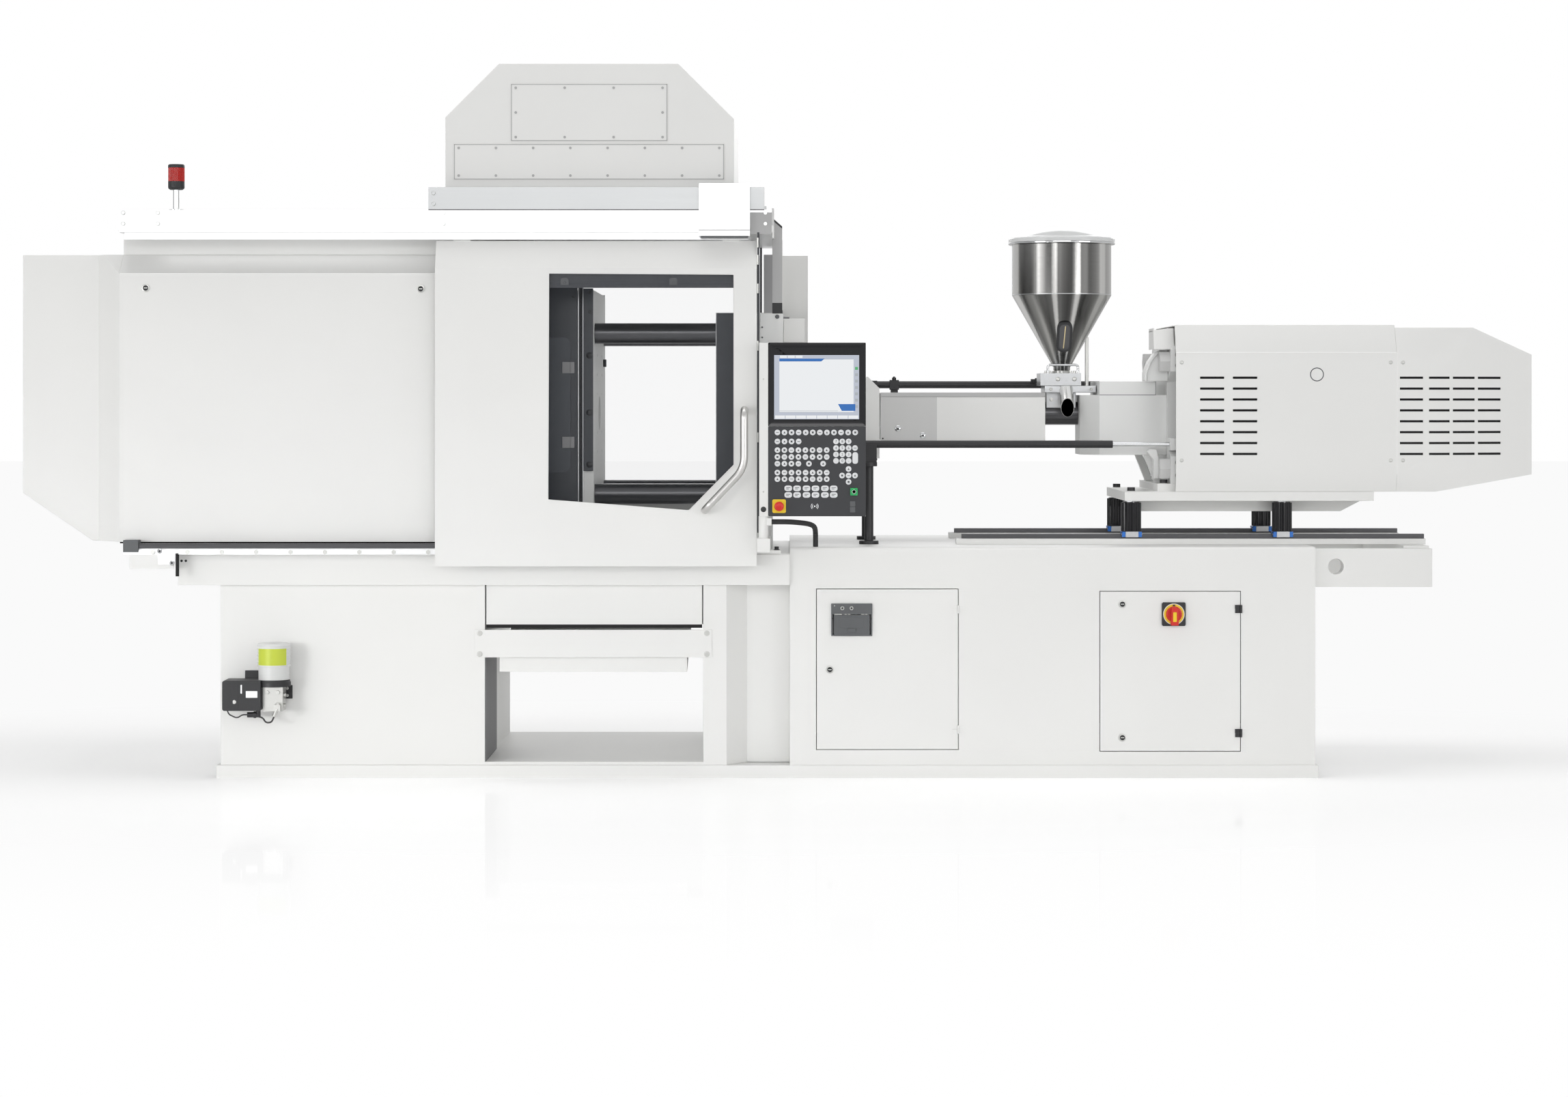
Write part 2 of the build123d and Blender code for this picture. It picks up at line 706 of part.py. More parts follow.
# Clamp cover: one folded roof and two sides, standing on brackets on the bed
cover_half = [(-cover_half_width, cover_bottom), (-cover_half_width, cover_fold),
              (-cover_shoulder_half, cover_shoulder), (-cover_shoulder_half, cover_roof)]
with BuildPart() as clamp_cover:
    with BuildSketch(Plane.YZ.offset(cover_left)) as cover_section:
        with BuildLine():
            Polyline(*mirrored(cover_half), close=True)
        make_face()
        offset(amount=-sheet, kind=Kind.INTERSECTION, mode=Mode.SUBTRACT)
        with Locations((0, cover_bottom)):
            Rectangle(2 * (cover_half_width - sheet), 4 * sheet, mode=Mode.SUBTRACT)
    extrude(cover_section.sketch, amount=cover_right - cover_left)
    for x in (-1860, -1400, -1100, -700):
        for side in (-1, 1):
            near, far = sorted((side * (cover_half_width - sheet - 40), side * (cover_half_width - sheet)))
            block(x, x + 40, near, far, bed_top + rail_foot, cover_bottom + 40)
    for x, z in ((-1992, 1720), (-1029, 1717)):
        bar_y(-cover_half_width - lock_proud, -cover_half_width, x, z, 2 * lock_radius)

# End cover: the clamp cover's form, narrowed and chamfered towards the end
end_plan = [(end_left, -end_half_width), (end_flat_right, -end_half_width), (cover_left, -cover_half_width),
            (cover_left, cover_half_width), (end_flat_right, end_half_width), (end_left, end_half_width)]
end_side = [(end_left, end_chamfer_z), (end_chamfer_x, cover_bottom), (cover_left, cover_bottom),
            (cover_left, cover_shoulder), (end_left, cover_shoulder)]
end_section = [(-cover_half_width, cover_bottom - 1), (-cover_half_width, cover_fold),
               (-cover_shoulder_half, cover_shoulder)]
with BuildPart() as clamp_end_cover:
    plan_outline(end_plan, cover_bottom, cover_shoulder)
    side_outline(end_side, -cover_half_width, cover_half_width, Mode.INTERSECT)
    end_outline(mirrored(end_section), end_left, cover_left, Mode.INTERSECT)
    open_face = clamp_end_cover.faces().sort_by(Axis.X)[-1]
    offset(amount=-sheet, openings=open_face, kind=Kind.INTERSECTION)

# Roof beams: aluminium box sections each side, cross members, pads and the paired bolts
roof_beam_top = roof_beam_bottom + beam_height


def hollow_beam(x0, x1, y0, y1, z0, z1):
    """A box section along X, open at both ends."""
    block(x0, x1, y0, y1, z0, z1)
    block(x0, x1, y0 + beam_wall, y1 - beam_wall, z0 + beam_wall, z1 - beam_wall, Mode.SUBTRACT)


with BuildPart() as roof_beams:
    beam_inner = beam_outer - beam_width
    for side in (-1, 1):
        near, far = sorted((side * beam_inner, side * beam_outer))
        hollow_beam(roof_beam_left, roof_beam_right, near, far, roof_beam_bottom, roof_beam_top)
        for x in (-2010, -740):
            low, high = sorted((side * 420, side * 556))
            block(x, x + 80, low, high, cover_roof, roof_beam_bottom)
    block(roof_beam_left, roof_beam_left + 80, -beam_inner, beam_inner, roof_beam_bottom, roof_beam_top)
    block(roof_beam_right - 80, roof_beam_right, -beam_inner, beam_inner, roof_beam_bottom, roof_beam_top)
    for x in (-2063, -1942, -945, 178):
        for z in (roof_beam_bottom + 30, roof_beam_bottom + 68):
            bar_y(-beam_outer - bolt_height, -beam_outer, x, z, bolt_head)

# Hood: sliding beams, a folded shell open below and two screwed access panels
with BuildPart() as hood_beams:
    hood_beam_bottom = roof_beam_top + slide_gap
    hood_bottom = roof_beam_top + beam_height
    for side in (-1, 1):
        near, far = sorted((side * beam_inner, side * beam_outer))
        hollow_beam(hood_beam_left, hood_beam_right, near, far, hood_beam_bottom, hood_bottom)
    for z in (hood_beam_bottom + 20, hood_beam_bottom + 58):
        bar_y(-beam_outer - bolt_height, -beam_outer, hood_beam_left + 18, z, bolt_head)

hood_side = [(hood_left, hood_bottom), (hood_right, hood_bottom), (hood_right, hood_right_shoulder),
             (hood_top_right, hood_top), (hood_top_left, hood_top), (hood_left, hood_left_shoulder)]
with BuildPart() as hood_shell:
    side_outline(hood_side, -hood_half_width, hood_half_width)
    offset(amount=-sheet, openings=hood_shell.faces().sort_by(Axis.Z)[0], kind=Kind.INTERSECTION)

with BuildPart() as hood_panels:
    hood_front = -hood_half_width
    plates = ((-713, -168, 2238, 2435, 4, 1), (-913, 31, 2103, 2224, 8, 0))
    for x0, x1, z0, z1, across, mid in plates:
        block(x0, x1, hood_front - 3, hood_front, z0, z1)
        pitch = (x1 - x0 - 30) / (across - 1)
        spots = [(x0 + 15 + k * pitch, z) for k in range(across) for z in (z0 + 12, z1 - 12)]
        if mid:
            spots += [(x0 + 15, (z0 + z1) / 2), (x1 - 15, (z0 + z1) / 2)]
        for x, z in spots:
            with BuildSketch(Plane.XZ.offset(-hood_front + 3)) as screw_head:
                with Locations((x, z)):
                    RegularPolygon(5, 6)
            extrude(screw_head.sketch, amount=2)

# Guard posts: columns on the fixed platen's brackets that carry the roof beams, and the beam cover
with BuildPart() as guard_posts:
    for side in (-1, 1):
        near, far = sorted((side * post_inner, side * post_outer))
        column = [(roof_beam_right, post_foot), (post_right, post_foot), (post_right, 1938),
                  (roof_beam_right, 1968)]
        side_outline(column, near, far)
        block(post_inside, roof_beam_right, near, far, post_foot, 1839)
        low, high = sorted((side * post_inner, side * beam_outer))
        block(roof_beam_right, roof_beam_right + 6, low, high, roof_beam_bottom - 20, roof_beam_top + 5)
        low, high = sorted((side * (beam_outer - 40), side * (beam_outer + 4)))
        block(door_right + 1.5, door_right + 9, low, high, arm_top + 1, roof_beam_bottom)
    block(post_inside, 333, post_outer, post_outer + 6, 1400, 1880)
    block(post_box_left + slide_gap, 316, -430, -380, 1531, 1616)
    block(-53, 124, -beam_outer - 25, -beam_outer, roof_beam_bottom - 12, roof_beam_top)
    block(-53, 124, -beam_outer - 25, -beam_outer - 8, roof_beam_top, 2083)

# Door rails: bottom angle, web and rod, and the channel that the doors hang in
with BuildPart() as door_rails:
    for side in (-1, 1):
        foot = [(side * 480, bed_top), (side * 605, bed_top), (side * 605, flange_top), (side * 599, flange_top),
                (side * 599, bed_top + rail_foot), (side * 480, bed_top + rail_foot)]
        end_outline(foot, rail_left - 52, rail_right)
        low, high = sorted((side * (rail_y - 3), side * (rail_y + 3)))
        block(rail_left, rail_right, low, high, bed_top + rail_foot, rail_rod_z)
        bar_x(rail_left, rail_right, side * rail_y, rail_rod_z, rail_rod_diameter)
        low, high = sorted((side * 565, side * 612))
        block(rail_left - 52, rail_left, low, high, bed_top + 9, 838)
        with BuildSketch(Plane.YZ.offset(track_left)) as channel:
            with Locations((side * track_y, (track_bottom + roof_beam_bottom) / 2)):
                Rectangle(36, roof_beam_bottom - track_bottom)
                Rectangle(28, roof_beam_bottom - track_bottom - 8, mode=Mode.SUBTRACT)
            with Locations((side * track_y, track_bottom)):
                Rectangle(12, 12, mode=Mode.SUBTRACT)
        extrude(channel.sketch, amount=rail_right - track_left)
    first_bolt = -1958
    for k in range(9):
        with BuildSketch(Plane.XZ.offset(605)) as flange_bolt:
            with Locations((first_bolt + 120 * k, bed_top + 9)):
                RegularPolygon(8, 6)
        extrude(flange_bolt.sketch, amount=6)


pane_hole = [(-575, 1768), (67, 1764), (67, 1102), (-89, 944), (-578, 981)]
pane_edge = [(-590, 1776), (82, 1776), (82, 1096), (-84, 930), (-592, 966)]
pane_thickness = 6


def sliding_door(side):
    """A leaning sheet door with returned edges, hangers in the track and shoes on the rod."""
    skin = [(side * door_face, door_bottom), (side * door_face, door_fold),
            (side * (door_face - door_lean), door_top), (side * (door_face - door_lean - 5), door_top - 2),
            (side * (door_face - door_skin), door_fold - 1), (side * (door_face - door_skin), door_bottom)]
    with BuildPart() as door:
        end_outline(skin, door_left, door_right)
        low, high = sorted((side * 585, side * (door_face - door_skin)))
        block(door_left, door_left + 5, low, high, 860, door_fold - 40)
        block(door_right - 5, door_right, low, high, 860, door_fold - 40)
        near, far = sorted((side * (door_face + 1), side * (door_face - door_skin - 1)))
        side_outline(pane_hole, near, far, Mode.SUBTRACT)
        for x in (door_left + 90, door_right - 90):
            low, high = sorted((side * (track_y - 3), side * (track_y + 3)))
            block(x - 30, x + 30, low, high, door_top - 4, track_bottom + hanger_rise)
            for turn in (-18, 18):
                low, high = sorted((side * (track_y - 11), side * (track_y + 11)))
                bar_y(low, high, x + turn, track_bottom + 4 + slide_gap + 7, 14)
            low, high = sorted((side * 583, side * (door_face - door_skin)))
            block(x - 35, x + 35, low, high, rail_rod_z + rail_rod_diameter / 2 + slide_gap, 846)
    return door


front_door_panel = sliding_door(-1)
window_face = door_face - door_skin

# The rear door carries its pane, a sheet behind the door skin and a little larger than the hole
with BuildPart() as rear_door_panel:
    add(sliding_door(1).part)
    side_outline(pane_edge, window_face - pane_thickness, window_face)

# Front window: the same pane on the operator side
with BuildPart() as front_door_window:
    side_outline(pane_edge, -window_face, -window_face + pane_thickness)

# Front door handle: one bent stainless tube, both ends turned into the door
with BuildPart() as front_door_handle:
    stand = -door_face - 70
    with BuildLine() as handle_path:
        FilletPolyline((105, -door_face, 1293), (105, stand, 1293), (105, stand, 1090), (-32, stand, 945),
                       (-32, -door_face, 945), radius=30)
    with BuildSketch(Plane(origin=handle_path.line @ 0, z_dir=handle_path.line % 0)):
        Circle(13.5)
    sweep()

# Signal beacon: base, post, lens and cap turned as one stack
with BuildPart() as signal_beacon:
    beacon_x = -1885
    stack = [(0, roof_beam_top), (26, roof_beam_top), (26, roof_beam_top + 4), (11.5, roof_beam_top + 4),
             (11.5, 2064), (24, 2064), (29, 2072), (29, 2150), (27, 2153), (0, 2153)]
    with BuildSketch(Plane(origin=(beacon_x, -560, 0), x_dir=(1, 0, 0), z_dir=(0, -1, 0))) as half:
        with BuildLine():
            Polyline(*stack, close=True)
        make_face()
    revolve(half.sketch, axis=Axis((beacon_x, -560, 0), (0, 0, 1)))

# Lubricator: motor housing, coupling and pump block on a wall bracket, with the fittings of its lines
lubricator_back = -base_half_width - 6
reservoir_x = -1538
reservoir_y = -595
reservoir_outer = 117
collar_bottom = 328
collar_top = 350
cap_bottom = 398
cable_gland = (-1699, -600, 262)
cable_end = (-1628, -612, 230)
hose_start = (-1590, -612, 224)
hose_end = (-1531, -635.5, 226)
ferrule_top = (-1519.3, -640, 253.3)
with BuildPart() as lubricator_pump:
    housing = [(-1710, 279), (-1710, 346), (-1704, 352), (-1615, 352), (-1599, 334), (-1599, 284), (-1575, 284),
               (-1575, 246), (-1688, 246), (-1688, 279)]
    side_outline(housing, -650, -545)
    bar_x(-1599, -1573, -600, 303, 15)
    block(-1573, -1502, -625, -545, 242, collar_bottom)
    bar_z(collar_bottom, collar_top, reservoir_x, reservoir_y, reservoir_outer)
    block(-1650, -1484, lubricator_back, -base_half_width, 278, 326)
    block(-1650, -1600, lubricator_back, -base_half_width, 326, 378)
    block(-1573, -1502, -545, lubricator_back, 285, 320)
    block(-1690, -1610, -545, lubricator_back, 285, 340)
    for z in (290, 315):
        bar_y(lubricator_back - bolt_height, lubricator_back, -1501, z, 14)
    bar_z(cable_gland[2], 279, cable_gland[0], cable_gland[1], 15)
    bar_x(cable_end[0], -1612, cable_end[1], cable_end[2], 11)
    bar_between((-1618, -612, 232.75), hose_start, 13)
    block(-1612, -1602, -617, -607, 228, 246)
    bar_between(hose_end, ferrule_top, 11)
    block(-1530, -1508, -648, -625, 245, 268)

with BuildPart() as lubricator_reservoir:
    bar_z(collar_top, cap_bottom, reservoir_x, reservoir_y, 107)
    bar_z(cap_bottom, 479, reservoir_x, reservoir_y, reservoir_outer)
    fillet(lubricator_reservoir.edges().group_by(Axis.Z)[-1], 8)

hose_start_x = 200
# Panel arm: a base foot on the bed edge, an arm and the pivot post under the panel
with BuildPart() as panel_arm:
    block(rail_right + 4, rail_right + 114, -bed_half_width, -bed_half_width + 90, bed_top, bed_top + 12)
    block(panel_pivot_x - 23, panel_pivot_x + 23, -690, -bed_half_width + 60, bed_top + 12, arm_top)
    bar_z(arm_top, panel_bottom - slide_gap, panel_pivot_x, panel_pivot_y, 34)
    block(panel_pivot_x, hose_start_x, panel_pivot_y - 13, panel_pivot_y + 13, 892, 918)


def cord_radii(points):
    """The arc at each corner of a cord's route, as large as its two runs allow."""
    corners = [Vector(*point) for point in points]
    radii = []
    for before, here, after in zip(corners, corners[1:], corners[2:]):
        turn = (here - before).get_angle(after - here)
        shorter = min((here - before).length, (after - here).length)
        radii.append(0.45 * shorter / tan(radians(turn / 2)))
    return radii


def cord(name, points, diameter):
    """A round tube along straight runs joined by tangent arcs."""
    radii = cord_radii(points)
    print(name, "diameter", diameter, "radii", [round(radius, 1) for radius in radii])
    with BuildLine() as route:
        FilletPolyline(*points, radius=radii)
    with BuildSketch(Plane(origin=route.line @ 0, z_dir=route.line % 0)) as section:
        Circle(diameter / 2)
    print(name, "length", round(sum(edge.length for edge in route.edges()), 1))
    sweep(section.sketch, path=route.line)


# Panel hose: corrugated conduit from the pivot post round to the bed
with BuildPart() as panel_hose:
    hose_route = [(hose_start_x, panel_pivot_y, 905), (265, panel_pivot_y, 905), (328, -622, 897),
                  (350, -560, 885), (354, -500, 862), (354, -500, injection_bed_top)]
    cord("panel hose", hose_route, 18)

# Lubricator lines: the motor's cable from its gland to the connector, and the hose on to the pump block
with BuildPart() as lubricator_lines:
    grease_route = [hose_start, (-1573.8, -612, 218.9), (-1562, -622, 203), (-1540, -632, 205), hose_end]
    cord("grease hose", grease_route, 6)
    cable_route = [cable_gland, (-1699, -600, 232), (-1665, -606, 217), (-1645, -612, 230), cable_end]
    cord("motor cable", cable_route, 5)

# Control panel: housing with its side post, the face plate, and two moving buttons
with BuildPart() as panel_housing:
    block(panel_left, panel_right, panel_face_y + 6, panel_back_y, panel_bottom, panel_top)
    fillet(panel_housing.edges().filter_by(Axis.Z).group_by(Axis.Y)[-1], 10)
    block(panel_post_left, panel_left, panel_face_y, panel_back_y, panel_bottom, panel_top)
    stop_x = 226
    stop_z = 960
    start_x = 485
    start_z = 1010
    bar_y(panel_face_y + 6, panel_face_y + 30, stop_x, stop_z, 12, Mode.SUBTRACT)
    bar_y(panel_face_y + 6, panel_face_y + 30, start_x, start_z, 12, Mode.SUBTRACT)

with BuildPart() as panel_face:
    block(panel_left, panel_right, panel_face_y, panel_face_y + 6, panel_bottom, panel_top)
    block(screen_left, screen_right, panel_face_y, panel_face_y + 2, screen_bottom, screen_top, Mode.SUBTRACT)
    block(stop_x - 23, stop_x + 23, panel_face_y - 2, panel_face_y, stop_z - 23, stop_z + 23)
    bar_y(panel_face_y - 2, panel_face_y + 6, stop_x, stop_z, 12, Mode.SUBTRACT)
    bar_y(panel_face_y, panel_face_y + 6, start_x, start_z, 12, Mode.SUBTRACT)

with BuildPart() as emergency_stop:
    bar_y(panel_face_y - 26, panel_face_y - 8, stop_x, stop_z, 34)
    bar_y(panel_face_y - 8, panel_face_y + 22, stop_x, stop_z, 12 - 2 * running_fit)

with BuildPart() as start_button:
    block(start_x - 13, start_x + 13, panel_face_y - 9, panel_face_y - 4, start_z - 13, start_z + 13)
    bar_y(panel_face_y - 4, panel_face_y + 22, start_x, start_z, 12 - 2 * running_fit)

# Nozzle drives: two guard tubes from the fixed platen, and the stand under their free ends
with BuildPart() as nozzle_drive_tubes:
    drives = ((front_drive_y, front_drive_z), (rear_drive_y, rear_drive_z))
    for y, z in drives:
        bar_x(fixed_platen_thickness, drive_tube_right, y, z, drive_tube_diameter)
        bar_x(fixed_platen_thickness, drive_tube_right, y, z, drive_rod_diameter + 2 * running_fit, Mode.SUBTRACT)
    block(520, 575, front_drive_y - 20, front_drive_y + 20, 1104, front_drive_z)
    bar_x(fixed_platen_thickness, drive_tube_right, front_drive_y, front_drive_z,
          drive_rod_diameter + 2 * running_fit, Mode.SUBTRACT)
    block(400, 575, front_drive_y - 20, purge_half + 4 + slide_gap, 1104, purge_bottom - slide_gap)
    block(purge_left, purge_right, purge_half + slide_gap, purge_half + 4 + slide_gap, purge_bottom - 12,
          purge_top - 12)
    for y in (front_drive_y, 120):
        bar_z(injection_bed_top, 1104, 547, y, 33)
        bar_z(1090, 1104, 547, y, 60)
        bar_z(injection_bed_top, injection_bed_top + 12, 547, y, 70)

# Purge guard: the chamfered front and roof over the nozzle, hinged along the stand's rear wall
with BuildPart() as purge_guard:
    purge = [(purge_left, purge_bottom), (purge_right, purge_bottom), (purge_right, purge_top - 42),
             (purge_right - 42, purge_top), (purge_left, purge_top)]
    side_outline(purge, -purge_half, purge_half)
    side_outline([(purge_left, purge_bottom), (purge_right, purge_bottom), (purge_right, 1340),
                  (purge_right - sheet, 1340), (purge_right - sheet, purge_top - 42 - 1.7),
                  (purge_right - 42 - 1.7, purge_top - sheet), (purge_left, purge_top - sheet)],
                 -purge_half + sheet, purge_half, Mode.SUBTRACT)
    bar_x(purge_left, purge_right - 60, purge_half + 4, purge_top - 6, 8)
    block(purge_left, purge_right - 60, purge_half - 6, purge_half + 4, purge_top - sheet, purge_top)

# Barrel: heater bands on a steel tube, tapering to the nozzle, bored for the screw
with BuildPart() as barrel:
    outline = [(nozzle_tip, 12), (nozzle_tip + 8, 18), (180, 18), (190, 30), (255, 30),
               (barrel_left, barrel_diameter / 2)]
    for k in range(6):
        left = 340 + k * 136
        outline += [(left, barrel_diameter / 2), (left, heater_band / 2), (left + 120, heater_band / 2),
                    (left + 120, barrel_diameter / 2)]
    outline += [(barrel_right, barrel_diameter / 2), (barrel_right, 0), (nozzle_tip, 0)]
    with BuildSketch(Plane(origin=(0, 0, axis_z), x_dir=(1, 0, 0), z_dir=(0, -1, 0))) as half:
        with BuildLine():
            Polyline(*outline, close=True)
        make_face()
    revolve(half.sketch, axis=Axis((0, 0, axis_z), (1, 0, 0)))
    bar_x(barrel_left, barrel_right, 0, axis_z, screw_diameter + 2 * running_fit, Mode.SUBTRACT)
    bar_x(nozzle_tip, barrel_left, 0, axis_z, 6, Mode.SUBTRACT)
    bar_z(axis_z, axis_z + 60, hopper_x, 0, feed_bore, Mode.SUBTRACT)

# Barrel guard: a long folded cover, open below and at both ends
with BuildPart() as barrel_guard:
    guard_half = [(-barrel_guard_half, barrel_guard_bottom), (-barrel_guard_half, barrel_guard_top - 16),
                  (-barrel_guard_half + 16, barrel_guard_top)]
    with BuildSketch(Plane.YZ.offset(barrel_guard_left)) as guard_section:
        with BuildLine():
            Polyline(*mirrored(guard_half), close=True)
        make_face()
        offset(amount=-sheet, kind=Kind.INTERSECTION, mode=Mode.SUBTRACT)
        with Locations((0, barrel_guard_bottom)):
            Rectangle(2 * (barrel_guard_half - sheet), 4 * sheet, mode=Mode.SUBTRACT)
    extrude(guard_section.sketch, amount=barrel_guard_right - barrel_guard_left)
    for x in (650, 1090):
        block(x, x + 30, -barrel_guard_half + sheet, -heater_band / 2, axis_z - 6, axis_z + 6)
        block(x, x + 30, heater_band / 2, barrel_guard_half - sheet, axis_z - 6, axis_z + 6)

# Drain: the tube under the feed plate, leaning to the operator and cut upright at its mouth
drain_top = (drain_x, -50, 1400)
drain_mouth = (drain_x, -210, 1240)
with BuildPart() as drain_tube:
    bar_between(drain_top, drain_mouth, drain_diameter)
    block(drain_x - 60, drain_x + 60, -150, 0, 1200, hopper_block_bottom - slide_gap, Mode.INTERSECT)

# Injection housing: feed plate and throat on the barrel, tapered neck, body and tray in one casting
with BuildPart() as injection_housing:
    block(feed_left, hopper_x + 48, -45, 45, axis_z + 20, feed_plate_bottom)
    block(feed_plate_left, feed_plate_right, -90, 90, feed_plate_bottom, hopper_block_bottom - slide_gap)
    neck = [(feed_right, -neck_half_width), (body_left, -body_half_width), (body_left, body_half_width),
            (feed_right, neck_half_width)]
    plan_outline(neck, body_bottom, body_top)
    block(body_left, body_right, -body_half_width, body_half_width, body_bottom, body_top)
    block(body_left, tray_end, -body_half_width, body_half_width, body_top, tray_top)
    for side in (-1, 1):
        near, far = sorted((side * 140, side * 170))
        side_outline([(1545, body_bottom), (1585, foot_top), (1612, foot_top), (1572, body_bottom)], near, far)
    block(feed_plate_right - 25, feed_plate_right - 13, 60, 90, hopper_block_bottom - slide_gap, 1560)
    add(drain_tube.part)
    bar_between(drain_top, drain_mouth, drain_diameter - 2 * drain_wall, Mode.SUBTRACT)
    bar_x(feed_left, body_left, 0, axis_z, barrel_diameter + 2 * running_fit, Mode.SUBTRACT)
    bar_x(body_left, body_right, 0, axis_z, screw_way, Mode.SUBTRACT)
    bar_z(axis_z, hopper_block_bottom, hopper_x, 0, feed_bore, Mode.SUBTRACT)

# Carriage: the base plate, its lower beam, the foot under the front plate and the bolts
with BuildPart() as carriage:
    block(carriage_left, carriage_right, -carriage_half_width, carriage_half_width, carriage_bottom, carriage_top)
    lower = [(1527, carriage_bottom), (1527, beam_bottom), (2252, beam_bottom), (2330, carriage_bottom)]
    side_outline(lower, -200, 200)
    foot_half = carriage_half_width - 30
    block(foot_left, front_plate_right, -foot_half, foot_half, carriage_top, foot_top)
    for x, z in ((front_block_x, carriage_top), (foot_left + 27, foot_top)):
        for y in (-rail_half_spacing, rail_half_spacing):
            bar_z(z, z + carriage_bolt / 2, x, y, carriage_bolt)

# Carriage blocks: four linear bearings and their fluted spacers
with BuildPart() as carriage_blocks:
    for x in (front_block_x, rear_block_x):
        for side in (-1, 1):
            middle = side * rail_half_spacing
            block(x - 55, x + 55, middle - 35, middle + 35, rail_bottom + 4, block_top)
            block(x - 55, x + 55, middle - rail_width / 2 - running_fit, middle + rail_width / 2 + running_fit,
                  rail_bottom, rail_top + running_fit, Mode.SUBTRACT)
            bar_z(block_top, carriage_bottom, x, middle, spacer_diameter)

# Injection frame: front and rear plates, four guide bars with nuts, two drive motors and the drive rods
with BuildPart() as injection_frame:
    plate = [(-300, foot_top), (300, foot_top), (300, 1125), (200, 1165), (200, 1393), (300, 1430),
             (300, 1511), (200, 1587), (-200, 1587), (-300, 1511), (-300, 1430), (-200, 1393), (-200, 1165),
             (-300, 1125)]
    for x0, x1 in ((body_right, front_plate_right), (rear_plate_left, rear_plate_left + 45)):
        end_outline(plate, x0, x1)
        bar_x(x0, x1, 0, axis_z, screw_way, Mode.SUBTRACT)
    block(rear_plate_left - 10, rear_plate_left + 20, -150, 150, carriage_top, foot_top)
    for y in (-guide_y, guide_y):
        for z in (axis_z - guide_z - 5.5, axis_z + guide_z - 5.5):
            bar_x(body_right - 4, rear_plate_left + 45, y, z, guide_bar_diameter)
            with BuildSketch(Plane.YZ.offset(body_right - guide_nut_length)) as nut:
                with Locations((y, z)):
                    RegularPolygon(40, 6)
            extrude(nut.sketch, amount=guide_nut_length)
    block(body_right, front_plate_right, front_drive_y - 22, -190, front_drive_z - 22, front_drive_z + 22)
    block(body_right, front_plate_right, 190, rear_drive_y + 22, rear_drive_z - 22, rear_drive_z + 22)
    for y, z in drives:
        bar_x(1120, body_right, y, z, drive_rod_diameter)
    for y in (-115, 115):
        block(rear_plate_left + 45, rear_plate_left + 330, y - 80, y + 80, axis_z - 80, axis_z + 80)

# Pressure plate: slides on the guide bars and carries the screw's motor
with BuildPart() as pressure_plate:
    pusher_left = 1890
    block(pusher_left, pusher_left + 60, -300, 300, 1040, 1520)
    for y in (-guide_y, guide_y):
        for z in (axis_z - guide_z - 5.5, axis_z + guide_z - 5.5):
            bar_x(pusher_left, pusher_left + 60, y, z, guide_bar_diameter + 2 * running_fit, Mode.SUBTRACT)
    bar_x(pusher_left - 6, pusher_left + 60, 0, axis_z, 40 + 2 * running_fit, Mode.SUBTRACT)
    block(pusher_left + 60, pusher_left + 210, -90, 90, 1340, 1500)

# Plasticising screw: tip, flighted length shown by its core diameter, and the shank in the plate
with BuildPart() as plasticising_screw:
    outline = [(330, 0), (352, 12), (372, 12), (380, 18), (1240, 18), (1300, 18), (pusher_left + 10, 18),
               (pusher_left + 10, 20), (pusher_left + 58, 20), (pusher_left + 58, 0)]
    with BuildSketch(Plane(origin=(0, 0, axis_z), x_dir=(1, 0, 0), z_dir=(0, -1, 0))) as half:
        with BuildLine():
            Polyline(*outline, close=True)
        make_face()
    revolve(half.sketch, axis=Axis((0, 0, axis_z), (1, 0, 0)))

# Main cover: a folded sheet over the injection drive, with two columns of vent slots
with BuildPart() as injection_cover:
    main_half = [(-main_cover_half + 14, carriage_top), (-main_cover_half, main_cover_low_fold),
                 (-main_cover_half, main_cover_high_fold), (-main_cover_half + 45, main_cover_top)]
    with BuildSketch(Plane.YZ.offset(main_cover_left)) as main_section:
        with BuildLine():
            Polyline(*mirrored(main_half), close=True)
        make_face()
        offset(amount=-sheet, kind=Kind.INTERSECTION, mode=Mode.SUBTRACT)
        with Locations((0, carriage_top)):
            Rectangle(2 * (main_cover_half - 24), 4 * sheet, mode=Mode.SUBTRACT)
    extrude(main_section.sketch, amount=main_cover_right - main_cover_left)
    slot_height = 8
    slot_rows = 8
    slot_pitch = 38.9
    for start, length in ((86, 86), (203, 87)):
        x0 = main_cover_left + start
        x1 = x0 + length
        for row in range(slot_rows):
            z = 1135 + row * slot_pitch
            for side in (-1, 1):
                near, far = sorted((side * (main_cover_half - 10), side * (main_cover_half + 1)))
                block(x0, x1, near, far, z - slot_height / 2, z + slot_height / 2, Mode.SUBTRACT)

